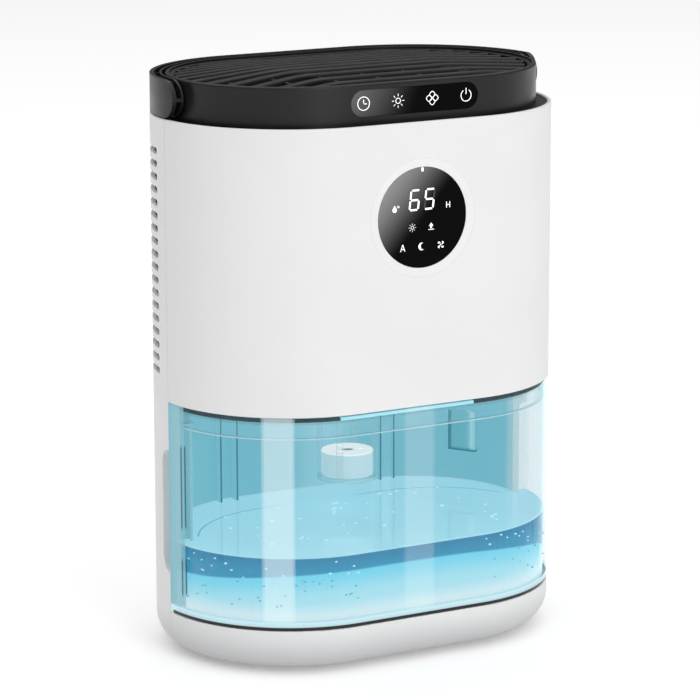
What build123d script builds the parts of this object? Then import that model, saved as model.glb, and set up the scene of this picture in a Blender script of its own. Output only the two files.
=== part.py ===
"""A tabletop Peltier dehumidifier with a clear pull-out tank, in millimetres.

+Z is up and -Y is the front. The origin is on the floor, under the middle of the housing.
"""
import os

from build123d import *

# Overall size
WIDTH = 245.0
DEPTH = 162.0
HEIGHT = 340.0
FOOT = 2.0
WALL = 2.6
END_RADIUS = DEPTH / 2
STRAIGHT_HALF = (WIDTH - DEPTH) / 2
SEAM_GAP = 0.25
FIT = 0.2

# Heights of the stacked sections
BASE_TOP = 27.7
BASE_ROUND = 18.0
TANK_BOTTOM = 28.1
TANK_FLOOR = 30.5
TANK_TOP = 152.4
UPPER_BOTTOM = 153.0
CHASSIS_BOTTOM = 153.4
CHASSIS_TOP = 156.4
RIM_TOP = 317.5
RIM_ROUND = 1.0

# Side vents and finger scallops of the rear shell
VENT_COUNT = 18
VENT_PITCH = 7.55
VENT_MIDDLE = 233.4
VENT_HEIGHT = 3.9
VENT_FRONT = 12.0
VENT_LENGTH = 42.0
GRIP_HEIGHT = 74.0
GRIP_MIDDLE = 88.0
GRIP_REACH = 9.7
GRIP_DEPTH = 5.4
GRIP_WALL = 2.0

# Cap, grille and handle
CAP_INSET = 9.0
CAP_WALL = 2.5
CAP_LIP = 3.6
LEDGE_TOP = 316.3
LEDGE_THICK = 2.5
GRILLE_TOP = 338.9
GRILLE_THICK = 3.2
GRILLE_BAR = 2.2
GRILLE_PITCH = 5.6
HANDLE_BOTTOM = 318.2
HANDLE_INSET = 0.2
HANDLE_DEPTH = 7.2
HANDLE_SKIN = 2.6
HANDLE_INNER_SKIN = 1.2
HANDLE_WEB = 2.0
PIVOT_Y = 1.7
PIVOT_Z = (HEIGHT + HANDLE_BOTTOM) / 2
PIVOT_RADIUS = (HEIGHT - HANDLE_BOTTOM) / 2
PIN_RADIUS = 3.0
PIN_END = 119.6
BUSH_RADIUS = 4.2
RUNNING_FIT = 0.05

# Touch strip and display
STRIP_LENGTH = 83.0
STRIP_HEIGHT = 15.2
STRIP_Z = 329.0
STRIP_THICK = 1.2
KEY_PITCH = 22.5
DISPLAY_Z = 262.6
DISPLAY_RADIUS = 28.9
DISH_RADIUS = 34.3
DISH_DEPTH = 0.8
DIGIT_RISE = 10.3
ICON_WELLS = [
    (-17.8, 6.2), (17.0, 6.0), (-6.6, -5.4), (5.8, -5.6), (-12.9, -16.7), (-0.4, -16.7), (12.2, -16.8),
]

STRIP_BOARD_Y = -66.5
DISPLAY_BOARD_Y = -70.0
DISPLAY_POST_RADIUS = 34.0

# Tank group
TANK_WALL = 2.4
TANK_REAR_INSET = 9.3
TANK_SHOULDER = 0.4
LID_BOTTOM = 139.6
LID_TOP = 149.8
LID_PLATE = 2.0
LID_SKIRT = 1.6
LID_FIT = 0.35
RIB_PLACES = [-56.0, -45.0, 55.5, 65.0]
FLOAT_X = 4.0
FLOAT_Y = 14.0
FLOAT_RADIUS = 15.6
FLOAT_BOTTOM = 92.0
FLOAT_HEIGHT = 15.0
CAGE_RADIUS = 18.4
CAGE_GAP = 0.4
PLUG_PLACE = (78.0, 30.0)
PLUG_RADIUS = 8.0
GUIDE_X = -8.0
GUIDE_LENGTH = 88.0
POCKET_PLACE = (98.0, 35.2)
POCKET_TURN = 32.0
POCKET_BOTTOM = 90.0
POCKET_HEIGHT = 25.0

# Cooling stack and fan
DRIP_Y = -22.0
BOARD_X = 78.0
STACK_Z = 226.0
HOT_BASE_FRONT = 2.0
HOT_WIDTH = 90.0
HOT_HEIGHT = 80.0
COLD_WIDTH = 70.0
COLD_HEIGHT = 70.0
MODULE_SIDE = 40.0
STACK_SCREW_X = 25.8
STACK_SCREW_Z = 26.0
MODULE_THICK = 3.8
FAN_Y = 2.0
FAN_SIDE = 92.0
FAN_BOTTOM = 306.0
FAN_DEPTH = 20.0
FAN_BORE = 43.5
FAN_HUB = 18.5
BLADE_TIP = 42.0
SHAFT_RADIUS = 1.6
COLD_FIN_COUNT = 13
COLD_FIN_PITCH = (COLD_WIDTH - 1.2) / (COLD_FIN_COUNT - 1)

os.makedirs("parts", exist_ok=True)


def save(piece, name):
    """Label a finished piece and write its STEP file."""
    piece.part.label = name
    export_step(piece.part, f"parts/{name}.step")


def outline(inset=0.0, mode=Mode.ADD):
    """The housing's obround plan, moved inwards by inset."""
    return SlotOverall(WIDTH - 2 * inset, DEPTH - 2 * inset, mode=mode)


def plate(bottom, top, inset):
    """A flat plate with the housing's plan."""
    with BuildSketch(Plane.XY.offset(bottom)) as plan:
        outline(inset)
    extrude(plan.sketch, amount=top - bottom)


def ring_wall(bottom, top, outer, inner, mode=Mode.ADD):
    """An upright wall between two insets of the plan."""
    with BuildSketch(Plane.XY.offset(bottom)) as plan:
        outline(outer)
        outline(inner, mode=Mode.SUBTRACT)
    extrude(plan.sketch, amount=top - bottom, mode=mode)


def housing_skin(top):
    """The housing's outer skin from its rounded floor to the given height, open above."""
    plate(FOOT, top, 0)
    fillet(faces().sort_by(Axis.Z)[0].edges(), BASE_ROUND)
    offset(amount=-WALL, openings=faces().sort_by(Axis.Z)[-1])


def case_screw_holes():
    """Clearance holes with head recesses in the housing's floor."""
    with BuildSketch(Plane.XY.offset(FOOT)) as recesses:
        with Locations(CASE_SCREWS):
            Circle(3.4)
    extrude(recesses.sketch, amount=1.4, mode=Mode.SUBTRACT)
    with BuildSketch(Plane.XY.offset(FOOT)) as holes:
        with Locations(CASE_SCREWS):
            Circle(1.7)
    extrude(holes.sketch, amount=2 * WALL, mode=Mode.SUBTRACT)


def screws(places, plane, length, head_radius=3.0, head_height=1.3, shank_radius=1.4):
    """Cross-head screws whose heads start on the plane and whose shanks run along its normal."""
    with BuildSketch(plane) as heads:
        with Locations(places):
            Circle(head_radius)
    extrude(heads.sketch, amount=head_height)
    with BuildSketch(plane) as shanks:
        with Locations(places):
            Circle(shank_radius)
    extrude(shanks.sketch, amount=length)
    with BuildSketch(plane) as slots:
        with Locations(places):
            Rectangle(1.3 * head_radius, 0.8)
            Rectangle(0.8, 1.3 * head_radius)
    extrude(slots.sketch, amount=0.6 * head_height, mode=Mode.SUBTRACT)


def facing(y):
    """A sketch plane that looks out of the front, at depth y, with +X to the right."""
    return Plane(origin=(0, y, 0), x_dir=(1, 0, 0), z_dir=(0, -1, 0))


CASE_SCREWS = [(x, y) for x in (-60, 60) for y in (-32, 32)]
BACK_SCREWS = [(x, 161.0) for x in (-24, 24)]
JACK_PLACE = (34.0, 176.0)
JACK_WALL_Y = DEPTH / 2 - WALL

# ---------------------------------------------------------------- housing
with BuildPart() as rear_shell:
    housing_skin(RIM_TOP)
    fillet(faces().sort_by(Axis.Z)[-1].edges(), RIM_ROUND)
    for side in (-1, 1):
        with BuildSketch(Plane.YZ.offset(side * (WIDTH / 2 - GRIP_DEPTH - GRIP_WALL))):
            with Locations((0, GRIP_MIDDLE)):
                SlotOverall(GRIP_HEIGHT + 2 * GRIP_WALL, 2 * (GRIP_REACH + GRIP_WALL), rotation=90)
        extrude(amount=side * (GRIP_DEPTH + GRIP_WALL - 1.4))
        with BuildSketch(Plane.YZ.offset(side * (WIDTH / 2 - GRIP_DEPTH))):
            with Locations((0, GRIP_MIDDLE)):
                SlotOverall(GRIP_HEIGHT, 2 * GRIP_REACH, rotation=90)
        extrude(amount=side * (GRIP_DEPTH + 2), mode=Mode.SUBTRACT)
    with BuildSketch(Plane.YZ):
        with Locations((VENT_FRONT + VENT_LENGTH / 2, VENT_MIDDLE)):
            with GridLocations(0, VENT_PITCH, 1, VENT_COUNT):
                SlotOverall(VENT_LENGTH, VENT_HEIGHT)
    extrude(amount=WIDTH, both=True, mode=Mode.SUBTRACT)
    with BuildSketch(facing(DEPTH / 2)):
        with Locations(JACK_PLACE):
            Circle(5.8)
        with Locations(BACK_SCREWS):
            Circle(1.7)
    extrude(amount=2 * WALL, mode=Mode.SUBTRACT)
    with BuildSketch(facing(DEPTH / 2)):
        with Locations(BACK_SCREWS):
            Circle(3.2)
    extrude(amount=1.0 + 1.4, mode=Mode.SUBTRACT)
    case_screw_holes()
    split(bisect_by=Plane.XZ.offset(-SEAM_GAP / 2), keep=Keep.BOTTOM)
save(rear_shell, "rear_shell")

with BuildPart() as base_front:
    housing_skin(BASE_TOP)
    case_screw_holes()
    fillet(faces().sort_by(Axis.Z)[-1].edges(), 0.6)
    split(bisect_by=Plane.XZ.offset(SEAM_GAP / 2), keep=Keep.TOP)
save(base_front, "base_front")

with BuildPart() as front_shell:
    ring_wall(UPPER_BOTTOM, RIM_TOP, 0, WALL)
    fillet(faces().sort_by(Axis.Z)[-1].edges(), RIM_ROUND)
    fillet(faces().sort_by(Axis.Z)[0].outer_wire().edges(), 0.6)
    with BuildSketch(facing(-DEPTH / 2)):
        with Locations((0, DISPLAY_Z)):
            Circle(DISH_RADIUS)
    with BuildSketch(facing(-DEPTH / 2 + DISH_DEPTH)):
        with Locations((0, DISPLAY_Z)):
            Circle(DISPLAY_RADIUS + FIT)
    loft(mode=Mode.SUBTRACT)
    with BuildSketch(facing(-DEPTH / 2 + 2 * WALL)):
        with Locations((0, DISPLAY_Z)):
            Circle(DISPLAY_RADIUS + FIT)
    extrude(amount=2 * WALL, mode=Mode.SUBTRACT)
    with BuildSketch(facing(-DEPTH / 2 + 11.0)):
        with Locations((0, DISPLAY_Z)):
            with PolarLocations(DISPLAY_POST_RADIUS, 3, start_angle=90):
                Circle(2.6)
    extrude(amount=11.0 - WALL + 0.5)
    with BuildSketch(facing(-DEPTH / 2 + 11.0)):
        with Locations((0, DISPLAY_Z)):
            with PolarLocations(DISPLAY_POST_RADIUS, 3, start_angle=90):
                Circle(1.1)
    extrude(amount=7.0, mode=Mode.SUBTRACT)
    split(bisect_by=Plane.XZ.offset(SEAM_GAP / 2), keep=Keep.TOP)
save(front_shell, "front_shell")

with BuildPart() as bay_floor:
    plate(BASE_TOP - WALL, BASE_TOP, WALL + FIT)
    plate(BASE_TOP, TANK_FLOOR - 0.5, TANK_WALL + 1.0)
    with BuildSketch(Plane.XY.offset(FOOT + WALL)):
        with Locations(CASE_SCREWS):
            Circle(4.5)
    extrude(amount=BASE_TOP - FOOT - 2 * WALL)
    with BuildSketch(Plane.XY.offset(FOOT + WALL)):
        with Locations(CASE_SCREWS):
            Circle(1.45)
    extrude(amount=12.0, mode=Mode.SUBTRACT)
save(bay_floor, "bay_floor")

with BuildPart() as rubber_feet:
    with BuildSketch():
        with GridLocations(104, 102, 2, 2):
            Circle(7.5)
    extrude(amount=FOOT)
    chamfer(faces().group_by(Axis.Z)[0].edges(), 0.5)
save(rubber_feet, "rubber_feet")

with BuildPart() as case_screws:
    screws(CASE_SCREWS, Plane.XY.offset(FOOT + 0.1), 13.0)
save(case_screws, "case_screws")

with BuildPart() as mid_chassis:
    plate(CHASSIS_BOTTOM, CHASSIS_TOP, WALL + FIT)
    with BuildSketch(Plane.XY.offset(CHASSIS_TOP)):
        with Locations([(x, DEPTH / 2 - WALL - 5.0) for x in (-24, 24)]):
            Rectangle(9.0, 8.0)
    extrude(amount=9.0)
    with BuildSketch(Plane.XY.offset(CHASSIS_TOP)):
        with Locations((BOARD_X, 0)):
            with GridLocations(48, 38, 2, 2):
                Circle(3.0)
    extrude(amount=5.0)
    with BuildSketch(Plane.XY.offset(CHASSIS_TOP + 5.0)):
        with Locations((BOARD_X, 0)):
            with GridLocations(48, 38, 2, 2):
                Circle(1.2)
    extrude(amount=-6.0, mode=Mode.SUBTRACT)
    with BuildSketch(Plane.XY.offset(CHASSIS_BOTTOM)):
        with Locations((0, DRIP_Y)):
            Circle(7.0)
        with Locations((0, -71.0)):
            SlotOverall(104.0, 4.6)
    extrude(amount=CHASSIS_TOP - CHASSIS_BOTTOM, mode=Mode.SUBTRACT)
    with BuildSketch(facing(DEPTH / 2)):
        with Locations(BACK_SCREWS):
            Circle(1.45)
    extrude(amount=11.0, mode=Mode.SUBTRACT)
save(mid_chassis, "mid_chassis")

with BuildPart() as back_screws:
    screws(BACK_SCREWS, facing(DEPTH / 2 - 1.0), 10.0, head_height=1.4)
save(back_screws, "back_screws")

# ---------------------------------------------------------------- cap and handle
with BuildPart() as top_cap:
    ring_wall(LEDGE_TOP - LEDGE_THICK, LEDGE_TOP, WALL + 0.3, CAP_INSET + CAP_WALL)
    ring_wall(LEDGE_TOP, HEIGHT, CAP_INSET, CAP_INSET + CAP_WALL)
    fillet(faces().sort_by(Axis.Z)[-1].outer_wire().edges(), 1.2)
    grille_seat = GRILLE_TOP - GRILLE_THICK
    ring_wall(grille_seat - 2.0, grille_seat, CAP_INSET + 1, CAP_INSET + CAP_LIP + 2)
    for side in (-1, 1):
        with BuildSketch(Plane.YZ.offset(side * (WIDTH / 2 - CAP_INSET - 1.0))):
            with Locations((PIVOT_Y, PIVOT_Z)):
                Circle(6.0)
        extrude(amount=-side * 8.0)
        with BuildSketch(Plane.YZ.offset(side * (WIDTH / 2))):
            with Locations((PIVOT_Y, PIVOT_Z)):
                Circle(PIN_RADIUS + 0.02)
        extrude(amount=-side * 16.0, mode=Mode.SUBTRACT)
    with BuildSketch(facing(-DEPTH / 2 + CAP_INSET + STRIP_THICK)):
        with Locations((0, STRIP_Z)):
            SlotOverall(STRIP_LENGTH + FIT, STRIP_HEIGHT + FIT)
    extrude(amount=STRIP_THICK, mode=Mode.SUBTRACT)
save(top_cap, "top_cap")

with BuildPart() as top_grille:
    grille_inset = CAP_INSET + CAP_WALL + FIT
    ring_wall(GRILLE_TOP - GRILLE_THICK, GRILLE_TOP, grille_inset, grille_inset + 3.0)
    with BuildSketch(Plane.XY.offset(GRILLE_TOP - GRILLE_THICK)) as bars:
        outline(grille_inset + 2.0)
        with BuildSketch(mode=Mode.INTERSECT):
            with GridLocations(0, GRILLE_PITCH, 1, int(DEPTH / GRILLE_PITCH)):
                Rectangle(WIDTH, GRILLE_BAR)
            with GridLocations(48, 0, 5, 1):
                Rectangle(2.4, DEPTH)
    extrude(amount=GRILLE_THICK - 0.4)
save(top_grille, "top_grille")

with BuildPart() as handle:
    skin_out = HANDLE_INSET + HANDLE_SKIN
    skin_in = HANDLE_DEPTH - HANDLE_INNER_SKIN
    ring_wall(HANDLE_BOTTOM, HEIGHT, HANDLE_INSET, HANDLE_DEPTH)
    ring_wall(HANDLE_BOTTOM, PIVOT_Z - HANDLE_WEB / 2, skin_out, skin_in, mode=Mode.SUBTRACT)
    ring_wall(PIVOT_Z + HANDLE_WEB / 2, HEIGHT, skin_out, skin_in, mode=Mode.SUBTRACT)
    with BuildSketch(Plane.XY.offset(HANDLE_BOTTOM + 1.0)):
        rib_middle = (skin_out + skin_in) / 2
        with GridLocations(15.0, DEPTH - 2 * rib_middle, 6, 2):
            Rectangle(1.2, skin_in - skin_out + 0.8)
        for side in (-1, 1):
            with Locations((side * STRAIGHT_HALF, 0)):
                with PolarLocations(END_RADIUS - rib_middle, 13, start_angle=-90 * side, angular_range=180,
                                    endpoint=True):
                    Rectangle(skin_in - skin_out + 0.8, 1.2)
    extrude(amount=HEIGHT - HANDLE_BOTTOM - 2.0)
    for side in (-1, 1):
        with BuildSketch(Plane.YZ.offset(side * (WIDTH / 2 - 1.5))):
            with Locations((PIVOT_Y, PIVOT_Z)):
                Circle(BUSH_RADIUS + 1.6)
        extrude(amount=-side * 4.6)
    with BuildSketch(Plane.YZ) as side_view:
        with Locations((PIVOT_Y, PIVOT_Z)):
            Circle(PIVOT_RADIUS)
        with Locations((PIVOT_Y + DEPTH / 2, PIVOT_Z)):
            Rectangle(DEPTH, 2 * PIVOT_RADIUS)
    extrude(amount=WIDTH, both=True, mode=Mode.INTERSECT)
    for side in (-1, 1):
        with BuildSketch(Plane.YZ.offset(side * PIN_END)):
            with Locations((PIVOT_Y, PIVOT_Z)):
                Circle(BUSH_RADIUS)
        extrude(amount=-side * 10.0, mode=Mode.SUBTRACT)
save(handle, "handle")

with BuildPart() as handle_bushes:
    for side in (-1, 1):
        with BuildSketch(Plane.YZ.offset(side * PIN_END)):
            with Locations((PIVOT_Y, PIVOT_Z)):
                Circle(BUSH_RADIUS)
                Circle(PIN_RADIUS + RUNNING_FIT, mode=Mode.SUBTRACT)
        extrude(amount=-side * (PIN_END - WIDTH / 2 + HANDLE_DEPTH))
save(handle_bushes, "handle_bushes")

with BuildPart() as handle_pins:
    for side in (-1, 1):
        with BuildSketch(Plane.YZ.offset(side * (PIN_END - 0.4))):
            with Locations((PIVOT_Y, PIVOT_Z)):
                Circle(PIN_RADIUS)
        extrude(amount=-side * 12.4)
    chamfer(faces().filter_by(Axis.X).edges(), 0.4)
save(handle_pins, "handle_pins")

# ---------------------------------------------------------------- touch strip and display
with BuildPart() as touch_lens:
    with BuildSketch(facing(-DEPTH / 2 + CAP_INSET + STRIP_THICK)):
        with Locations((0, STRIP_Z)):
            SlotOverall(STRIP_LENGTH, STRIP_HEIGHT)
    extrude(amount=STRIP_THICK)
    chamfer(faces().sort_by(Axis.Y)[0].edges(), 0.2)
save(touch_lens, "touch_lens")

with BuildPart() as touch_board:
    with BuildSketch(facing(STRIP_BOARD_Y + 1.6)):
        with Locations((0, STRIP_Z - 0.8)):
            Rectangle(80, 10.4)
            with GridLocations(74, 0, 2, 1):
                Circle(1.5, mode=Mode.SUBTRACT)
    extrude(amount=1.6)
    with BuildSketch(facing(STRIP_BOARD_Y + 1.6)):
        with Locations((24, STRIP_Z - 0.8), (-8, STRIP_Z - 0.8)):
            Rectangle(9, 6)
    extrude(amount=-1.4)
save(touch_board, "touch_board")

with BuildPart() as touch_pads:
    with BuildSketch(facing(STRIP_BOARD_Y)):
        with Locations((0, STRIP_Z)):
            with GridLocations(KEY_PITCH, 0, 4, 1):
                Circle(4.5)
                Circle(2.6, mode=Mode.SUBTRACT)
    extrude(amount=STRIP_BOARD_Y + DEPTH / 2 - CAP_INSET - CAP_WALL)
save(touch_pads, "touch_pads")

with BuildPart() as display_lens:
    with BuildSketch(facing(-DEPTH / 2 + DISH_DEPTH + 1.6)):
        with Locations((0, DISPLAY_Z)):
            Circle(DISPLAY_RADIUS)
    extrude(amount=1.6)
save(display_lens, "display_lens")

with BuildPart() as display_housing:
    with BuildSketch(facing(DISPLAY_BOARD_Y)):
        with Locations((0, DISPLAY_Z)):
            Circle(DISPLAY_RADIUS)
            with Locations((0, DIGIT_RISE)):
                Rectangle(26, 16, mode=Mode.SUBTRACT)
            with Locations(ICON_WELLS):
                Circle(2.8, mode=Mode.SUBTRACT)
    extrude(amount=DISPLAY_BOARD_Y + DEPTH / 2 - DISH_DEPTH - 1.6)
save(display_housing, "display_housing")

with BuildPart() as digit_display:
    with BuildSketch(facing(DISPLAY_BOARD_Y)):
        with Locations((0, DISPLAY_Z + DIGIT_RISE)):
            Rectangle(25.4, 15.4)
    extrude(amount=6.0)
save(digit_display, "digit_display")

with BuildPart() as display_board:
    with BuildSketch(facing(DISPLAY_BOARD_Y + 1.6)):
        with Locations((0, DISPLAY_Z)):
            Circle(38.0)
            with PolarLocations(DISPLAY_POST_RADIUS, 3, start_angle=90):
                Circle(1.5, mode=Mode.SUBTRACT)
    extrude(amount=1.6)
    with BuildSketch(facing(DISPLAY_BOARD_Y + 1.6)):
        with Locations((0, DISPLAY_Z - 4)):
            Rectangle(12, 12)
        with Locations((0, DISPLAY_Z - 24)):
            Rectangle(14, 5)
    extrude(amount=-2.0)
save(display_board, "display_board")

with BuildPart() as display_screws:
    posts = [(DISPLAY_POST_RADIUS * Vector(1, 0).rotate(Axis.Z, 90 + 120 * turn)) for turn in range(3)]
    screws([(post.X, post.Y + DISPLAY_Z) for post in posts], facing(DISPLAY_BOARD_Y + 3.0), 8.0,
           head_radius=2.4, shank_radius=1.05)
save(display_screws, "display_screws")

# ---------------------------------------------------------------- tank
def tank_plan(inset):
    """The tank's plan: the housing's own front half, and a narrower rear part."""
    outline(inset)
    with Locations((0, DEPTH / 2 - TANK_SHOULDER - inset)):
        Rectangle(WIDTH, DEPTH, mode=Mode.SUBTRACT)
    outline(TANK_REAR_INSET + inset)


def tank_layer(bottom, top, inset, mode=Mode.ADD):
    """A solid layer with the tank's plan."""
    with BuildSketch(Plane.XY.offset(bottom)) as plan:
        tank_plan(inset)
    extrude(plan.sketch, amount=top - bottom, mode=mode)


with BuildPart() as water_tank:
    tank_layer(TANK_FLOOR, TANK_TOP, 0)
    with BuildSketch(Plane.XY.offset(TANK_BOTTOM)) as foot_ring:
        outline()
        outline(TANK_WALL, mode=Mode.SUBTRACT)
        with Locations((0, DEPTH / 2 - TANK_SHOULDER)):
            Rectangle(WIDTH, DEPTH, mode=Mode.SUBTRACT)
    extrude(amount=TANK_FLOOR - TANK_BOTTOM)
    tank_layer(TANK_FLOOR + TANK_WALL, TANK_TOP, TANK_WALL, mode=Mode.SUBTRACT)
    rib_top = LID_BOTTOM - 0.2
    rear_wall_inset = TANK_REAR_INSET + TANK_WALL
    with BuildSketch(Plane.XY.offset(TANK_FLOOR + 1.0)) as ribs:
        with Locations([(x, DEPTH / 2 - rear_wall_inset) for x in RIB_PLACES]):
            Rectangle(1.8, 12.0)
        with Locations([(side * (WIDTH / 2 - TANK_REAR_INSET - 1.0), -6.0) for side in (-1, 1)]):
            Rectangle(6.0, 1.8)
        outline(TANK_REAR_INSET + 1.0, mode=Mode.INTERSECT)
    extrude(amount=rib_top - TANK_FLOOR - 1.0)
save(water_tank, "water_tank")

with BuildPart() as tank_lid:
    lid_inset = TANK_WALL + LID_FIT
    tank_layer(LID_BOTTOM, LID_TOP, lid_inset)
    tank_layer(LID_BOTTOM, LID_TOP - LID_PLATE, lid_inset + LID_SKIRT, mode=Mode.SUBTRACT)
    with BuildSketch(Plane.XY.offset(LID_TOP)):
        with Locations((0, DRIP_Y)):
            Circle(10.0)
        with Locations(PLUG_PLACE):
            Circle(PLUG_RADIUS + 2.0)
    extrude(amount=1.2)
    with BuildSketch(Plane.XY.offset(LID_TOP + 1.2)):
        with Locations((0, DRIP_Y)):
            Circle(8.0)
        with Locations(PLUG_PLACE):
            Circle(PLUG_RADIUS)
    extrude(amount=-6.0, mode=Mode.SUBTRACT)
save(tank_lid, "tank_lid")

with BuildPart() as lid_seal:
    tank_layer(LID_TOP, LID_TOP + 1.8, TANK_WALL + 0.05)
    tank_layer(LID_TOP, LID_TOP + 1.8, TANK_WALL + 2.6, mode=Mode.SUBTRACT)
    with BuildSketch(Plane.XY.offset(LID_TOP)):
        with Locations((GUIDE_X, -DEPTH / 2)):
            Rectangle(GUIDE_LENGTH + 0.4, 20.0)
    extrude(amount=1.8, mode=Mode.SUBTRACT)
save(lid_seal, "lid_seal")

with BuildPart() as light_guide:
    tank_layer(LID_TOP, LID_TOP + 1.8, TANK_WALL + 0.3)
    tank_layer(LID_TOP, LID_TOP + 1.8, TANK_WALL + 2.6, mode=Mode.SUBTRACT)
    with BuildSketch(Plane.XY.offset(LID_TOP)):
        with Locations((GUIDE_X, -DEPTH / 2)):
            Rectangle(GUIDE_LENGTH, 20.0)
    extrude(amount=1.8, mode=Mode.INTERSECT)
save(light_guide, "light_guide")

with BuildPart() as pour_plug:
    with BuildSketch(Plane.XY.offset(LID_TOP - LID_PLATE - 2.0)):
        with Locations(PLUG_PLACE):
            Circle(PLUG_RADIUS - 0.2)
    extrude(amount=LID_PLATE + 3.2)
    with BuildSketch(Plane.XY.offset(LID_TOP + 1.2)):
        with Locations(PLUG_PLACE):
            Circle(PLUG_RADIUS + 1.5)
    extrude(amount=1.0)
save(pour_plug, "pour_plug")

with BuildPart() as sensor_pocket:
    with BuildSketch(Plane.XY.offset(POCKET_BOTTOM)):
        with Locations(POCKET_PLACE):
            Rectangle(3.0, 18.6, rotation=POCKET_TURN)
    extrude(amount=POCKET_HEIGHT)
    with BuildSketch(Plane.XY.offset(POCKET_BOTTOM + 2.0)):
        with Locations(POCKET_PLACE):
            Rectangle(1.4, 15.0, rotation=POCKET_TURN)
    extrude(amount=POCKET_HEIGHT, mode=Mode.SUBTRACT)
save(sensor_pocket, "sensor_pocket")

FLOAT_CENTRE = (FLOAT_X, FLOAT_Y)
CAGE_LEG = (CAGE_RADIUS + FLOAT_RADIUS + CAGE_GAP) / 2
with BuildPart() as float_cage:
    cage_floor = FLOAT_BOTTOM - 2.4
    with BuildSketch(Plane.XY.offset(cage_floor)):
        with Locations(FLOAT_CENTRE):
            Circle(CAGE_RADIUS)
            Circle(10.0, mode=Mode.SUBTRACT)
    extrude(amount=2.0)
    with BuildSketch(Plane.XY.offset(cage_floor)):
        with Locations(FLOAT_CENTRE):
            with PolarLocations(CAGE_LEG, 4, start_angle=45):
                Rectangle(CAGE_RADIUS - FLOAT_RADIUS - CAGE_GAP, 4.0)
    extrude(amount=LID_TOP - LID_PLATE - cage_floor)
    with BuildSketch(Plane.XY.offset(LID_TOP - LID_PLATE)):
        with Locations(FLOAT_CENTRE):
            Circle(CAGE_RADIUS)
            Circle(10.0, mode=Mode.SUBTRACT)
    extrude(amount=-2.0)
save(float_cage, "float_cage")

with BuildPart() as float_body:
    with BuildSketch(Plane.XY.offset(FLOAT_BOTTOM)):
        with Locations(FLOAT_CENTRE):
            Circle(FLOAT_RADIUS)
    extrude(amount=FLOAT_HEIGHT)
    fillet(edges().filter_by(GeomType.CIRCLE), 0.8)
    with BuildSketch(Plane.XY.offset(FLOAT_BOTTOM + FLOAT_HEIGHT)):
        with Locations(FLOAT_CENTRE):
            Circle(4.2)
            with PolarLocations(8.4, 3, start_angle=90):
                Circle(1.7)
    extrude(amount=-3.0, mode=Mode.SUBTRACT)
save(float_body, "float")

with BuildPart() as float_magnet:
    with BuildSketch(Plane.XY.offset(FLOAT_BOTTOM + FLOAT_HEIGHT - 3.0)):
        with Locations(FLOAT_CENTRE):
            Circle(4.0)
    extrude(amount=2.4)
save(float_magnet, "float_magnet")

# ---------------------------------------------------------------- cooling stack
with BuildPart() as hot_sink:
    hot_base = 5.0
    hot_fins = 30.0
    with BuildSketch(facing(HOT_BASE_FRONT + hot_base)):
        with Locations((0, STACK_Z)):
            Rectangle(HOT_WIDTH, HOT_HEIGHT)
    extrude(amount=hot_base)
    with BuildSketch(facing(HOT_BASE_FRONT + hot_base)):
        with Locations((0, STACK_Z)):
            with GridLocations((HOT_WIDTH - 1.4) / 16, 0, 17, 1):
                Rectangle(1.4, HOT_HEIGHT)
    extrude(amount=-hot_fins)
    with BuildSketch(facing(HOT_BASE_FRONT + hot_base)):
        with Locations((0, STACK_Z)):
            with GridLocations(2 * STACK_SCREW_X, 2 * STACK_SCREW_Z, 2, 2):
                Circle(1.45)
    extrude(amount=hot_base, mode=Mode.SUBTRACT)
save(hot_sink, "hot_sink")

with BuildPart() as peltier_module:
    with BuildSketch(facing(HOT_BASE_FRONT)):
        with Locations((0, STACK_Z)):
            Rectangle(MODULE_SIDE, MODULE_SIDE)
    extrude(amount=MODULE_THICK)
save(peltier_module, "peltier_module")

with BuildPart() as insulation_frame:
    with BuildSketch(facing(HOT_BASE_FRONT)):
        with Locations((0, STACK_Z)):
            Rectangle(HOT_WIDTH - 4, HOT_HEIGHT - 4)
            Rectangle(MODULE_SIDE + 1, MODULE_SIDE + 1, mode=Mode.SUBTRACT)
            with GridLocations(2 * STACK_SCREW_X, 2 * STACK_SCREW_Z, 2, 2):
                Circle(1.8, mode=Mode.SUBTRACT)
    extrude(amount=MODULE_THICK)
save(insulation_frame, "insulation_frame")

with BuildPart() as cold_sink:
    cold_base = 6.0
    cold_fins = 22.0
    cold_front = HOT_BASE_FRONT - MODULE_THICK - cold_base
    with BuildSketch(facing(HOT_BASE_FRONT - MODULE_THICK)):
        with Locations((0, STACK_Z)):
            Rectangle(COLD_WIDTH, COLD_HEIGHT)
            with GridLocations(2 * STACK_SCREW_X, 2 * STACK_SCREW_Z, 2, 2):
                Circle(1.8, mode=Mode.SUBTRACT)
    extrude(amount=cold_base)
    with BuildSketch(facing(cold_front)):
        with Locations((0, STACK_Z)):
            with GridLocations(COLD_FIN_PITCH, 0, COLD_FIN_COUNT, 1):
                Rectangle(1.2, COLD_HEIGHT)
    extrude(amount=cold_fins)
save(cold_sink, "cold_sink")

with BuildPart() as sink_screws:
    stack_screws = [(x * STACK_SCREW_X, STACK_Z + z * STACK_SCREW_Z) for x in (-1, 1) for z in (-1, 1)]
    back_of_heads = Plane(origin=(0, cold_front - 1.4, 0), x_dir=(-1, 0, 0), z_dir=(0, 1, 0))
    screws(stack_screws, back_of_heads, 14.0, head_radius=2.0, head_height=1.4)
save(sink_screws, "sink_screws")

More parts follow.
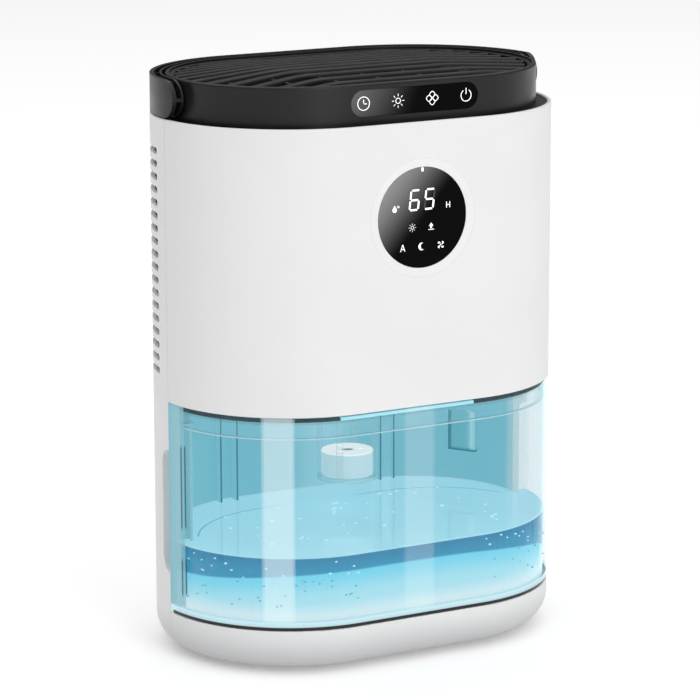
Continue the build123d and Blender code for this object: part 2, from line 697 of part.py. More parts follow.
with BuildPart() as sink_bracket:
    with BuildSketch(Plane.XY.offset(CHASSIS_TOP)):
        with Locations([(side * (HOT_WIDTH / 2 - 6.0), 22.0) for side in (-1, 1)]):
            Rectangle(12.0, 34.0)
    extrude(amount=2.4)
    for side in (-1, 1):
        with BuildSketch(Plane.YZ.offset(side * (HOT_WIDTH / 2))):
            with Locations((22.0, (CHASSIS_TOP + STACK_Z + 30.0) / 2)):
                Rectangle(34.0, STACK_Z + 30.0 - CHASSIS_TOP)
        extrude(amount=side * 2.4)
save(sink_bracket, "sink_bracket")

with BuildPart() as drip_tray:
    tray_top = STACK_Z - COLD_HEIGHT / 2 - 2.0
    with BuildSketch(Plane.XY.offset(tray_top - 9.0)):
        with Locations((0, DRIP_Y)):
            Rectangle(80, 34)
    extrude(amount=9.0)
    fillet(edges().filter_by(Axis.Z), 4.0)
    offset(amount=-1.6, openings=faces().sort_by(Axis.Z)[-1])
    with BuildSketch(Plane.XY.offset(tray_top - 9.0)):
        with Locations((0, DRIP_Y)):
            Circle(5.0)
    extrude(amount=-(tray_top - 9.0 - CHASSIS_BOTTOM - 0.4))
    with BuildSketch(Plane.XY.offset(tray_top - 5.0)):
        with Locations((0, DRIP_Y)):
            Circle(3.4)
    extrude(amount=-40.0, mode=Mode.SUBTRACT)
save(drip_tray, "drip_tray")

# ---------------------------------------------------------------- fan
with BuildPart() as fan_duct:
    plate(FAN_BOTTOM - 3.0, FAN_BOTTOM, WALL + FIT)
    with BuildSketch(Plane.XY.offset(FAN_BOTTOM - 3.0)):
        with Locations((0, FAN_Y)):
            Circle(FAN_BORE)
            with GridLocations(FAN_SIDE - 10, FAN_SIDE - 10, 2, 2):
                Circle(1.45)
    extrude(amount=3.0, mode=Mode.SUBTRACT)
save(fan_duct, "fan_duct")

with BuildPart() as fan_frame:
    with BuildSketch(Plane.XY.offset(FAN_BOTTOM)):
        with Locations((0, FAN_Y)):
            RectangleRounded(FAN_SIDE, FAN_SIDE, 5.0)
            Circle(FAN_BORE, mode=Mode.SUBTRACT)
            with GridLocations(FAN_SIDE - 10, FAN_SIDE - 10, 2, 2):
                Circle(2.0, mode=Mode.SUBTRACT)
    extrude(amount=FAN_DEPTH)
    with BuildSketch(Plane.XY.offset(FAN_BOTTOM)):
        with Locations((0, FAN_Y)):
            Circle(FAN_HUB - 2.0)
            Circle(1.7, mode=Mode.SUBTRACT)
            with PolarLocations((FAN_HUB + FAN_BORE) / 2 - 1.0, 4, start_angle=45):
                Rectangle(FAN_BORE - FAN_HUB + 4.0, 4.0)
    extrude(amount=1.8)
save(fan_frame, "fan_frame")

with BuildPart() as fan_stator:
    with BuildSketch(Plane.XY.offset(FAN_BOTTOM + 1.8)):
        with Locations((0, FAN_Y)):
            Circle(12.0)
            Circle(SHAFT_RADIUS + RUNNING_FIT, mode=Mode.SUBTRACT)
    extrude(amount=11.0)
save(fan_stator, "fan_stator")

with BuildPart() as fan_rotor:
    rotor_bottom = FAN_BOTTOM + 3.2
    rotor_top = FAN_BOTTOM + FAN_DEPTH - 1.5
    with BuildSketch(Plane.XY.offset(rotor_bottom)):
        with Locations((0, FAN_Y)):
            Circle(FAN_HUB)
            Circle(FAN_HUB - 2.0, mode=Mode.SUBTRACT)
    extrude(amount=rotor_top - rotor_bottom)
    with BuildSketch(Plane.XY.offset(rotor_top)):
        with Locations((0, FAN_Y)):
            Circle(FAN_HUB)
    extrude(amount=-2.0)
    with BuildSketch(Plane.XY.offset(rotor_top - 2.0)):
        with Locations((0, FAN_Y)):
            Circle(SHAFT_RADIUS)
    extrude(amount=-11.5)
    with Locations((0, FAN_Y, (rotor_bottom + rotor_top) / 2)):
        with PolarLocations((FAN_HUB + BLADE_TIP) / 2, 7):
            Box(BLADE_TIP - FAN_HUB + 1.6, 17.0, 1.6, rotation=(38, 0, 0))
save(fan_rotor, "fan_rotor")

with BuildPart() as fan_screws:
    corner = (FAN_SIDE - 10) / 2
    fan_corners = [(x, FAN_Y + y) for x in (-corner, corner) for y in (-corner, corner)]
    mirrored_corners = [(x, -y) for x, y in fan_corners]
    fan_head_plane = Plane(origin=(0, 0, FAN_BOTTOM + FAN_DEPTH + 1.4), x_dir=(1, 0, 0), z_dir=(0, 0, -1))
    screws(mirrored_corners, fan_head_plane, FAN_DEPTH + 4.0, head_height=1.4)
save(fan_screws, "fan_screws")

# ---------------------------------------------------------------- electronics
with BuildPart() as main_board:
    board_bottom = CHASSIS_TOP + 5.0
    with BuildSketch(Plane.XY.offset(board_bottom)):
        with Locations((BOARD_X, 0)):
            Rectangle(56, 46)
            with GridLocations(48, 38, 2, 2):
                Circle(1.5, mode=Mode.SUBTRACT)
    extrude(amount=1.6)
    with BuildSketch(Plane.XY.offset(board_bottom + 1.6)):
        with Locations((BOARD_X - 12, -8), (BOARD_X - 12, 6)):
            Circle(4.0)
        with Locations((BOARD_X + 8, -6)):
            Rectangle(12, 12)
        with Locations((BOARD_X + 6, 12)):
            Rectangle(16, 6)
    extrude(amount=9.0)
save(main_board, "main_board")

with BuildPart() as board_screws:
    board_corners = [(BOARD_X + x, y) for x in (-24, 24) for y in (-19, 19)]
    board_head_plane = Plane(origin=(0, 0, board_bottom + 3.0), x_dir=(1, 0, 0), z_dir=(0, 0, -1))
    screws(board_corners, board_head_plane, 6.4, head_radius=2.4, head_height=1.4, shank_radius=1.15)
save(board_screws, "board_screws")

with BuildPart() as dc_jack:
    jack_face = Plane(origin=(JACK_PLACE[0], JACK_WALL_Y, JACK_PLACE[1]), x_dir=(1, 0, 0), z_dir=(0, -1, 0))
    with BuildSketch(jack_face):
        Circle(5.5)
    extrude(amount=-2.4)
    with BuildSketch(jack_face):
        RectangleRounded(13, 11, 1.0)
    extrude(amount=12.0)
    with BuildSketch(jack_face.offset(-2.4)):
        Circle(3.0)
    extrude(amount=11.0, mode=Mode.SUBTRACT)
    with BuildSketch(jack_face.offset(8.6)):
        Circle(1.0)
    extrude(amount=-9.0)
save(dc_jack, "dc_jack")

with BuildPart() as humidity_sensor:
    with BuildSketch(Plane.XY.offset(CHASSIS_TOP)):
        with Locations((-92, 18)):
            Rectangle(14.0, 1.6)
    extrude(amount=26.0)
    with BuildSketch(Plane.XY.offset(CHASSIS_TOP + 12.0)):
        with Locations((-92, 16.0)):
            Rectangle(8.0, 2.4)
    extrude(amount=10.0)
save(humidity_sensor, "humidity_sensor")

with BuildPart() as float_sensor:
    with BuildSketch(Plane.XY.offset(CHASSIS_TOP)):
        with Locations(FLOAT_CENTRE):
            Rectangle(18, 10)
    extrude(amount=1.6)
    with BuildSketch(Plane.XY.offset(CHASSIS_TOP + 1.6)):
        with Locations(FLOAT_CENTRE):
            Rectangle(5, 4)
    extrude(amount=2.0)
save(float_sensor, "float_sensor")

with BuildPart() as light_diffuser:
    with BuildSketch(Plane.XY.offset(CHASSIS_BOTTOM)):
        with Locations((0, -71.0)):
            SlotOverall(103.6, 4.2)
    extrude(amount=CHASSIS_TOP - CHASSIS_BOTTOM + 1.0)
save(light_diffuser, "light_diffuser")

with BuildPart() as night_light_board:
    with BuildSketch(Plane.XY.offset(CHASSIS_TOP + 1.0)):
        with Locations((0, -71.0)):
            Rectangle(78, 7)
    extrude(amount=1.6)
save(night_light_board, "night_light_board")
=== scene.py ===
"""A tabletop dehumidifier with a clear tank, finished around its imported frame.

Metres, with +Z up and -Y the front.
"""
import math
import random

import bmesh
import bpy
from mathutils import Matrix, Vector


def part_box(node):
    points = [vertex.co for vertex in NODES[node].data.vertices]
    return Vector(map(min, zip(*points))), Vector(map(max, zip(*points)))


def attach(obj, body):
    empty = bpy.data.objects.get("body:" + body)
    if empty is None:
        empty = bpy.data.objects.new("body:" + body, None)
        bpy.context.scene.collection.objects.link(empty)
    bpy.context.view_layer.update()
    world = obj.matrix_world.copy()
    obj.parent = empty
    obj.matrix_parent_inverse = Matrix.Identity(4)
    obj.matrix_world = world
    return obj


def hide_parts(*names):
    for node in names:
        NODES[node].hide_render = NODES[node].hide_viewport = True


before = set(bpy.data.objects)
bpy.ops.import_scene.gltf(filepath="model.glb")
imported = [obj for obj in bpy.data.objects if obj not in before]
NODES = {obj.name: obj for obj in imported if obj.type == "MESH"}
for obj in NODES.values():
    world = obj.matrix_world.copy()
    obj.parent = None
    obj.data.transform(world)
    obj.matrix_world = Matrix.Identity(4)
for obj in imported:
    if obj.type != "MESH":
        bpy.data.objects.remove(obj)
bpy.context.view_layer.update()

MM = 0.001

# Plan of the housing and the tank
SHELL_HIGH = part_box("rear_shell")[1]
HALF_WIDTH = SHELL_HIGH[0]
HALF_DEPTH = SHELL_HIGH[1]
STRAIGHT_HALF = HALF_WIDTH - HALF_DEPTH
TANK_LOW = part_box("water_tank")[0]
TANK_WALL = 2.4 * MM
TANK_REAR_INSET = 9.3 * MM
TANK_SHOULDER = 0.4 * MM
TANK_FLOOR_TOP = TANK_LOW[2] + 4.8 * MM
WATER_LEVEL = 70.2 * MM
RIB_PLACES = [place * MM for place in (-56.0, -45.0, 55.5, 65.0)]
RIB_HALF = 0.5 * MM
WATER_GAP = 0.06 * MM
MENISCUS = 0.7 * MM
WALL_BUBBLES = 90
SURFACE_BUBBLES = 46
SHOULDER_FRONT = -TANK_SHOULDER - TANK_WALL
SHOULDER_INNER = HALF_WIDTH - TANK_REAR_INSET - TANK_WALL
FLOAT_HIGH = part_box("float")[1]
LID_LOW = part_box("tank_lid")[0]
POCKET_LOW, POCKET_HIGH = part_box("sensor_pocket")

# Painted reflections, painted dark refraction lines and streaks, and a painted lighter patch on the rear, in
# the tank's clear walls
FAR = 1.0
WIDE_BAND = (-93.5 * MM, -78.7 * MM)
FAINT_BAND = (-11.0 * MM, 8.5 * MM)
LEFT_STRIP = -12.6 * MM
LEFT_LINE = -14.2 * MM
UPPER_LINE = (80.0 * MM, 130.0 * MM)
LOWER_LINE = (40.0 * MM, 63.0 * MM)
RIGHT_FADE = (88.0 * MM, 104.0 * MM)
RIGHT_EDGE = 109.0 * MM
RIGHT_EDGE_DEPTH = (-50.0 * MM, -32.0 * MM)
STREAK_DEPTH = (-66.0 * MM, -30.0 * MM)
STREAK_HEIGHT = (46.0 * MM, 68.0 * MM)
PALE_REAR = (0.0, 34.0 * MM)

# Painted deep band under the waterline, where the rear wall shows through the water, which hangs lower
# towards its ends
BAND_DEPTH = 9.0 * MM
BAND_SAG = 7.5 * MM
BAND_MIDDLE = 15.0 * MM
BAND_REACH = 108.0 * MM

# Front faces that carry the icons
DISPLAY_LOW, DISPLAY_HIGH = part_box("display_lens")
DISPLAY_CENTRE = (DISPLAY_LOW + DISPLAY_HIGH) / 2
DISH_RADIUS = 34.3 * MM
STRIP_LOW, STRIP_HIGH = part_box("touch_lens")
STRIP_CENTRE = (STRIP_LOW + STRIP_HIGH) / 2
KEY_PITCH = 22.4 * MM
KEY_SIZE = 4.2 * MM
PRINT_THICK = 0.12 * MM
DIGIT_RISE = 10.3 * MM
DIGIT_PLACES = (("6", -5.1 * MM), ("5", 4.7 * MM))
DIGIT_HEIGHT = 11.2 * MM
DIGIT_WIDTH = 5.6 * MM
DIGIT_SLANT = 0.12
SEGMENT_WIDTH = 1.05 * MM
LIT_SEGMENTS = {"6": "acdefg", "5": "acdfg"}

# Wavy grille
GRILLE_LOW, GRILLE_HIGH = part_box("top_grille")
GRILLE_LEVELS = [-62, -45, -26, -7, 9, 21, 31, 39, 46, 52, 57.5, 62.5, 67]
GRILLE_BEND_LEFT = -32.0
GRILLE_BEND_RIGHT = 58.0
GRILLE_REAR_PITCH = 5.0
GRILLE_REAR_RIBS = 8
RIB_DEPTH = 3.0 * MM
RIB_PROFILE = [(-0.5, -1.0), (-0.5, -0.45), (-0.36, -0.14), (0.0, 0.0),
               (0.36, -0.14), (0.5, -0.45), (0.5, -1.0)]
CROSS_BARS = (-84, -56, -28, 0, 28, 56, 84)
CROSS_BAR_WIDTH = 2.2 * MM

# Room
OVERHEAD = ("overhead", (0.0, 0.0, 4.0), (0.0, 0.0, 0.0), (10.0, 10.0), 350.0)
FRONT_KEY = ("front_key", (0.1, -3.2, 1.3), (0.0, 0.0, 0.2), (1.4, 1.8), 30.0)
WORLD_LIGHT = 0.17
FLOOR_HALF = 30.0


# ---------------------------------------------------------------- materials
class Surface:
    """A Principled material with helpers for its node tree."""

    def __init__(self, name, colour, roughness, **sockets):
        self.material = bpy.data.materials.new(name)
        self.material.use_nodes = True
        self.tree = self.material.node_tree
        self.shader = self.tree.nodes["Principled BSDF"]
        self.output = self.tree.nodes["Material Output"]
        self.set("Base Color", (*colour, 1.0))
        self.set("Roughness", roughness)
        for key, value in sockets.items():
            self.set(key.replace("_", " "), value)

    def set(self, socket, value):
        self.shader.inputs[socket].default_value = value

    def add(self, kind, **values):
        node = self.tree.nodes.new(kind)
        for key, value in values.items():
            setattr(node, key, value)
        return node

    def link(self, start, end):
        self.tree.links.new(start, end)

    def feed(self, value, socket):
        """Set a socket to a number or a colour, or link it to another node's output."""
        if isinstance(value, tuple):
            socket.default_value = (*value, 1.0)
        elif isinstance(value, (int, float)):
            socket.default_value = value
        else:
            self.link(value, socket)

    def place(self):
        """The x, y and z of the surface in its own body's rest frame."""
        split = self.add("ShaderNodeSeparateXYZ")
        self.link(self.add("ShaderNodeTexCoord").outputs["Object"], split.inputs[0])
        return split.outputs

    def ramp(self, value, low, high, start=0.0, end=1.0):
        """A smooth change from start to end as value goes from low to high."""
        node = self.add("ShaderNodeMapRange", interpolation_type="SMOOTHSTEP")
        self.link(value, node.inputs["Value"])
        for socket, number in zip(("From Min", "From Max", "To Min", "To Max"), (low, high, start, end)):
            node.inputs[socket].default_value = number
        return node.outputs["Result"]

    def maths(self, operation, first, second):
        node = self.add("ShaderNodeMath", operation=operation)
        for socket, value in zip(node.inputs, (first, second)):
            self.feed(value, socket)
        return node.outputs[0]

    def mix(self, factor, first, second):
        """A colour between first and second, each a colour or another mix."""
        node = self.add("ShaderNodeMix", data_type="RGBA")
        self.link(factor, node.inputs["Factor"])
        self.feed(first, node.inputs[6])
        self.feed(second, node.inputs[7])
        return node.outputs[2]

    def within(self, value, low, high, soft=0.0003):
        """One between low and high, and nought outside."""
        return self.maths("SUBTRACT", self.ramp(value, low - soft, low + soft),
                          self.ramp(value, high - soft, high + soft))

    def both(self, *masks):
        """The overlap of several masks."""
        total = masks[0]
        for mask in masks[1:]:
            total = self.maths("MULTIPLY", total, mask)
        return total

    def paint(self, base, alpha, layers, lit, glow):
        """Layers of (mask, colour, alpha) over a base; lit is the share of the colour that reflects light,
        and glow the share that shines, as light inside clear plastic does."""
        colour, solid = base, alpha
        for mask, tint, cover in layers:
            colour = self.mix(mask, colour, tint)
            blend = self.add("ShaderNodeMix", data_type="FLOAT")
            self.link(mask, blend.inputs["Factor"])
            self.feed(solid, blend.inputs[2])
            blend.inputs[3].default_value = cover
            solid = blend.outputs[0]
        shade = self.add("ShaderNodeMix", data_type="RGBA", blend_type="MULTIPLY")
        shade.inputs["Factor"].default_value = 1.0
        shade.inputs[7].default_value = (lit, lit, lit, 1.0)
        self.feed(colour, shade.inputs[6])
        self.link(shade.outputs[2], self.shader.inputs["Base Color"])
        self.feed(colour, self.shader.inputs["Emission Color"])
        self.set("Emission Strength", glow)
        self.feed(solid, self.shader.inputs["Alpha"])

    def noise(self, scale, detail=3.0):
        node = self.add("ShaderNodeTexNoise")
        node.inputs["Scale"].default_value = scale
        node.inputs["Detail"].default_value = detail
        self.link(self.add("ShaderNodeTexCoord").outputs["Object"], node.inputs["Vector"])
        return node.outputs["Fac"]

    def upright_lines(self, across, along):
        """Fine upright lines of uneven strength, from noise that is stretched along Z."""
        stretch = self.add("ShaderNodeMapping")
        stretch.inputs["Scale"].default_value = (across, across, along)
        self.link(self.add("ShaderNodeTexCoord").outputs["Object"], stretch.inputs["Vector"])
        lines = self.add("ShaderNodeTexNoise")
        lines.inputs["Scale"].default_value = 1.0
        self.link(stretch.outputs["Vector"], lines.inputs["Vector"])
        return lines.outputs["Fac"]

    def facing(self, blend, low, high, start, end):
        """A value that goes from start to end as a clear surface turns edge-on."""
        weight = self.add("ShaderNodeLayerWeight")
        weight.inputs["Blend"].default_value = blend
        return self.ramp(weight.outputs["Facing"], low, high, start, end)

    def bump(self, height, strength, depth):
        """Relief from a height."""
        relief = self.add("ShaderNodeBump")
        relief.inputs["Strength"].default_value = strength
        relief.inputs["Distance"].default_value = depth
        self.link(height, relief.inputs["Height"])
        self.link(relief.outputs["Normal"], self.shader.inputs["Normal"])

    def grain(self, scale, strength, depth, spread=0.05):
        """Moulding grain: a fine bump, and a little change of gloss."""
        self.bump(self.noise(scale), strength, depth)
        rough = self.shader.inputs["Roughness"].default_value
        self.link(self.ramp(self.noise(60.0), 0.3, 0.7, rough - spread, rough + spread),
                  self.shader.inputs["Roughness"])
        return self

    def mottle(self, scale, first, second):
        """A soft change of colour over the surface."""
        self.link(self.mix(self.ramp(self.noise(scale), 0.35, 0.65), first, second),
                  self.shader.inputs["Base Color"])
        return self


def make_white_shell():
    """White plastic with painted shade that darkens it under the base, a painted lighter dish round the
    display, and a painted shade line round the dish's lip.
    """
    surface = Surface("white_shell", (0.8, 0.8, 0.8), 0.42, Specular_IOR_Level=0.4)
    surface.mottle(14.0, (0.795, 0.795, 0.797), (0.815, 0.815, 0.813))
    clean = surface.shader.inputs["Base Color"].links[0].from_socket
    # painted shade: the white darkens towards the bottom of the base
    underside_painted_shade = surface.ramp(surface.place()[2], 30 * MM, 4 * MM)
    shaded = surface.mix(underside_painted_shade, clean, (0.52, 0.52, 0.525))
    x, y, z = surface.place()
    across = surface.maths("SUBTRACT", x, DISPLAY_CENTRE.x)
    rise = surface.maths("SUBTRACT", z, DISPLAY_CENTRE.z)
    across_square = surface.maths("MULTIPLY", across, across)
    rise_square = surface.maths("MULTIPLY", rise, rise)
    reach = surface.maths("SQRT", surface.maths("ADD", across_square, rise_square), 0.0)
    front = surface.within(y, -FAR, DISPLAY_HIGH.y + 3 * MM)
    # painted light: a lighter dish round the display, with a painted shade line at its lip
    dish = surface.both(front, surface.within(reach, 0.0, DISH_RADIUS))
    lip = surface.both(front, surface.within(reach, DISH_RADIUS - 0.5 * MM, DISH_RADIUS + 0.1 * MM))
    with_painted_dish = surface.mix(dish, shaded, (0.83, 0.83, 0.83))
    surface.link(surface.mix(lip, with_painted_dish, (0.77, 0.77, 0.77)), surface.shader.inputs["Base Color"])
    return surface.grain(2600.0, 0.06, 0.00005).material


def make_black_shell():
    surface = Surface("black_shell", (0.014, 0.014, 0.0145), 0.33, Specular_IOR_Level=0.3)
    surface.mottle(30.0, (0.011, 0.011, 0.0115), (0.014, 0.014, 0.0145))
    return surface.grain(2200.0, 0.09, 0.00005).material


def make_black_part():
    surface = Surface("black_part", (0.012, 0.012, 0.012), 0.5)
    surface.mottle(50.0, (0.010, 0.010, 0.010), (0.015, 0.015, 0.015))
    return surface.grain(1500.0, 0.12, 0.00006).material


def make_grille():
    surface = Surface("grille_black", (0.006, 0.006, 0.0065), 0.42, Specular_IOR_Level=0.25)
    surface.mottle(40.0, (0.005, 0.005, 0.0055), (0.008, 0.008, 0.0085))
    return surface.grain(2200.0, 0.08, 0.00005).material


def make_lens(name, centre, reach, painted_reflection):
    """Gloss black acrylic with a painted reflection, lighter towards its upper left."""
    surface = Surface(name, (0.003, 0.003, 0.003), 0.07, Specular_IOR_Level=0.03)
    x, _, z = surface.place()
    across = surface.maths("SUBTRACT", x, centre.x)
    rise = surface.maths("SUBTRACT", z, centre.z)
    upward = surface.maths("MULTIPLY", rise, painted_reflection[1])
    leftward = surface.maths("MULTIPLY", across, painted_reflection[0])
    slope = surface.maths("SUBTRACT", upward, leftward)
    # painted reflection: the black turns grey towards the upper left
    reflection_amount = surface.ramp(slope, reach * -0.05, reach)
    surface.link(surface.mix(reflection_amount, (0.002, 0.002, 0.002), painted_reflection[2]), surface.shader.inputs["Base Color"])
    return surface.material


def make_clear_tank():
    """One clear moulding whose painted light follows its place: a clear front, a painted glowing blue-lit
    rear, a painted pale floor, painted reflections, painted dark refraction lines, a painted shadow line
    along its bottom, and a painted glow over all.
    """
    surface = Surface("clear_tank", (0.7, 0.9, 0.95), 0.05, Specular_IOR_Level=0.4)
    x, y, z = surface.place()
    clear = surface.facing(0.35, 0.5, 0.98, 0.03, 0.3)
    above = surface.ramp(z, TANK_FLOOR_TOP - 0.1 * MM, TANK_FLOOR_TOP + 0.1 * MM)
    front = surface.within(y, -FAR, SHOULDER_FRONT - 0.2 * MM)
    rear = surface.both(surface.ramp(y, SHOULDER_FRONT - 0.2 * MM, SHOULDER_FRONT), above)
    left_end = surface.within(x, -FAR, -SHOULDER_INNER)
    right_end = surface.within(x, SHOULDER_INNER, FAR)
    # painted light and shade: the rear is painted an opaque teal for the housing seen in the blue-lit tank,
    # lighter over a patch just right of the middle
    paler_painted_light = surface.within(x, *PALE_REAR, 14 * MM)
    teal = surface.mix(paler_painted_light, (0.18, 0.49, 0.59), (0.29, 0.60, 0.70))
    # painted refraction: a teal strip and dark lines at the left end of the clear walls
    strip = surface.both(front, surface.within(y, LEFT_STRIP, 0.0), left_end)
    painted_dark_line = surface.both(surface.within(y, LEFT_LINE, LEFT_STRIP), left_end)
    upper_painted_line = surface.both(painted_dark_line, surface.within(z, *UPPER_LINE, 2 * MM))
    lower_painted_line = surface.both(painted_dark_line, surface.within(z, *LOWER_LINE, 2 * MM))
    # painted reflections: light bands on the front wall and a lighter fade at its right end
    wide_painted_reflection = surface.both(front, surface.within(x, *WIDE_BAND, 0.4 * MM))
    faint_painted_reflection = surface.both(front, surface.within(x, *FAINT_BAND, 0.6 * MM))
    right_painted_reflection = surface.both(front, surface.ramp(x, *RIGHT_FADE))
    # painted refraction: a dark line at the right edge and dark upright streaks near the right end
    right_painted_dark_edge = surface.both(surface.within(y, *RIGHT_EDGE_DEPTH, 4 * MM),
                              surface.within(x, RIGHT_EDGE, FAR, 2 * MM))
    painted_dark_streaks = surface.both(surface.ramp(surface.upright_lines(420.0, 35.0), 0.55, 0.60),
                           surface.within(y, *STREAK_DEPTH, 2 * MM),
                           surface.within(x, 90 * MM, FAR, 3 * MM),
                           surface.within(z, *STREAK_HEIGHT, 2 * MM))
    # painted dark refraction lines where the rear wall's ribs stand
    ribs = surface.within(x, RIB_PLACES[0] - RIB_HALF, RIB_PLACES[0] + RIB_HALF)
    for place in RIB_PLACES[1:]:
        ribs = surface.maths("ADD", ribs, surface.within(x, place - RIB_HALF, place + RIB_HALF))
    # painted light: the floor is painted pale, for the lit base seen through it
    floor = surface.maths("SUBTRACT", 1.0, above)
    # painted shadow: a black line along the bottom of the front wall, where the tank meets the base
    painted_shade_foot = surface.both(surface.within(z, 0.0, TANK_LOW.z + 1.7 * MM, 0.1 * MM), front)
    # painted glow: the colour is dimmed to 0.35 for reflected light and shines at 0.72, in place of the
    # light inside the tank
    surface.paint((0.25, 0.6, 0.7), clear, [
        (rear, teal, 0.95),
        (surface.both(rear, ribs), (0.02, 0.13, 0.17), 0.9),
        # painted light and shade at the rear's ends: darker teal at the left, lighter at the right where the
        # housing shows through
        (surface.both(rear, left_end), (0.16, 0.43, 0.52), 0.95),
        (surface.both(rear, right_end), (0.52, 0.66, 0.70), 0.5),
        (strip, (0.26, 0.49, 0.56), 0.72),
        (upper_painted_line, (0.01, 0.06, 0.08), 0.8),
        (lower_painted_line, (0.01, 0.05, 0.07), 0.8),
        (right_painted_reflection, (0.52, 0.66, 0.70), 0.34),
        (right_painted_dark_edge, (0.16, 0.38, 0.45), 0.22),
        (painted_dark_streaks, (0.05, 0.20, 0.26), 0.4),
        (wide_painted_reflection, (0.74, 0.90, 0.94), 0.28),
        (faint_painted_reflection, (0.80, 0.93, 0.96), 0.08),
        (floor, (0.56, 0.79, 0.85), 0.8),
        (painted_shade_foot, (0.006, 0.008, 0.009), 1.0),
    ], 0.35, 0.72)
    return surface.material


def make_thin_clear(name, colour, alpha):
    """Clear moulded plastic seen through the tank, more solid at its edges."""
    surface = Surface(name, colour, 0.06, Specular_IOR_Level=0.7)
    surface.link(surface.facing(0.3, 0.3, 0.95, alpha, 0.75), surface.shader.inputs["Alpha"])
    return surface.material


def make_lid():
    """The clear lid, whose skirt ends in a fine painted highlight line under a painted dark refraction line,
    with a faint painted glow.
    """
    surface = Surface("clear_lid", (0.5, 0.8, 0.88), 0.06, Specular_IOR_Level=0.7)
    z = surface.place()[2]
    clear = surface.facing(0.3, 0.3, 0.95, 0.05, 0.75)
    # painted refraction and highlight: a dark line over a bright line at the skirt's lower edge
    dark = surface.within(z, LID_LOW.z + 0.5 * MM, LID_LOW.z + 1.0 * MM, 0.1 * MM)
    bright = surface.within(z, LID_LOW.z - 0.1 * MM, LID_LOW.z + 0.5 * MM, 0.1 * MM)
    surface.paint((0.5, 0.8, 0.88), clear, [
        (dark, (0.10, 0.36, 0.44), 0.6),
        (bright, (0.70, 0.90, 0.95), 0.5),
    ], 0.8, 0.15)
    return surface.material


def make_pocket():
    """A smoked pocket with painted shade along its left and lower edges, painted light in a slot down its
    right side, and a painted glow.
    """
    surface = Surface("smoked_pocket", (0.16, 0.52, 0.62), 0.1, Specular_IOR_Level=0.5)
    x, _, z = surface.place()
    # painted light in the slot; painted shade along the left edge and the lower edge; the colour also shines
    # as a painted glow
    slot = surface.within(x, POCKET_HIGH.x - 4.4 * MM, POCKET_HIGH.x - 2.2 * MM, 0.3 * MM)
    side = surface.within(x, POCKET_LOW.x - 1 * MM, POCKET_LOW.x + 1.2 * MM)
    painted_shade_foot = surface.within(z, POCKET_LOW.z - 1 * MM, POCKET_LOW.z + 1.2 * MM)
    surface.paint((0.16, 0.50, 0.60), 0.5, [
        (slot, (0.42, 0.74, 0.82), 0.6),
        (side, (0.03, 0.22, 0.28), 0.85),
        (painted_shade_foot, (0.03, 0.22, 0.28), 0.85),
    ], 0.35, 0.6)
    return surface.material


def make_water():
    """Water with painted refraction: it pales towards the tank's floor, where the lit floor shows through,
    and has a deeper band under its surface, where the rear wall shows through; its top face is painted
    lighter, with a painted shade line along the rear wall, and it has a painted glow.
    """
    surface = Surface("water", (0.3, 0.7, 0.85), 0.04, Specular_IOR_Level=0.35)
    x, y, z = surface.place()
    aside = surface.maths("ABSOLUTE", surface.maths("ADD", x, BAND_MIDDLE), 0.0)
    spread = surface.maths("POWER", surface.maths("DIVIDE", aside, BAND_REACH), 3.5)
    depth = surface.maths("ADD", surface.maths("MULTIPLY", spread, BAND_SAG), BAND_DEPTH)
    under = surface.maths("SUBTRACT", WATER_LEVEL, z)
    past_band = surface.maths("SUBTRACT", under, depth)
    # painted refraction: below the band the water is painted lighter, and lighter still near the floor where
    # the lit floor shows through
    pale = surface.mix(surface.ramp(past_band, 0.0, 16 * MM), (0.16, 0.66, 0.86), (0.40, 0.77, 0.88))
    near_floor_painted_light = surface.ramp(z, TANK_FLOOR_TOP + 12 * MM, TANK_FLOOR_TOP + 1 * MM)
    pale = surface.mix(near_floor_painted_light, pale, (0.68, 0.87, 0.92))
    # painted refraction: the deep band where the rear wall shows through the water
    deep = surface.mix(surface.ramp(under, 1 * MM, 9 * MM), (0.0, 0.19, 0.38), (0.005, 0.25, 0.46))
    front = surface.mix(surface.ramp(past_band, -0.5 * MM, 1.0 * MM), deep, pale)
    # painted light: the top face is painted a lighter cyan
    top = surface.ramp(z, WATER_LEVEL - 0.5 * MM, WATER_LEVEL - 0.1 * MM)
    from_middle = surface.maths("ABSOLUTE", x, 0.0)
    beyond = surface.maths("MAXIMUM", surface.maths("SUBTRACT", from_middle, STRAIGHT_HALF), 0.0)
    across = surface.maths("MULTIPLY", beyond, beyond)
    ahead = surface.maths("ADD", y, 30 * MM)
    along = surface.maths("MULTIPLY", ahead, ahead)
    radius = surface.maths("SQRT", surface.maths("ADD", across, along), 0.0)
    edge = HALF_DEPTH - TANK_REAR_INSET - TANK_WALL
    # painted shade line where the surface meets the tank's rear wall
    rear_painted_shade_line = surface.both(top, surface.within(radius, edge - 0.5 * MM, edge + 0.5 * MM, 0.3 * MM),
                        surface.ramp(y, -2 * MM, 4 * MM), surface.ramp(from_middle, 20 * MM, 30 * MM))
    # the water shines with a painted glow
    surface.paint(front, 0.95, [
        (top, (0.40, 0.75, 0.87), 0.95),
        (rear_painted_shade_line, (0.10, 0.42, 0.53), 0.95),
    ], 0.3, 0.66)
    surface.bump(surface.noise(28.0, 2.0), 0.12, 0.0006)
    return surface.material


def make_float():
    """White foam-filled plastic, painted a dim teal for the shade and tint inside the tank, with a painted
    highlight on its lit top and a painted glow.
    """
    surface = Surface("float_shell", (0.8, 0.8, 0.8), 0.4)
    # painted light: the top is painted near white, the sides a dim teal, and the float shines with a painted
    # glow
    top = surface.ramp(surface.place()[2], FLOAT_HIGH.z - 1.2 * MM, FLOAT_HIGH.z - 0.4 * MM)
    surface.paint((0.47, 0.65, 0.70), 1.0, [(top, (0.97, 1.0, 1.0), 1.0)], 0.6, 0.66)
    return surface.material


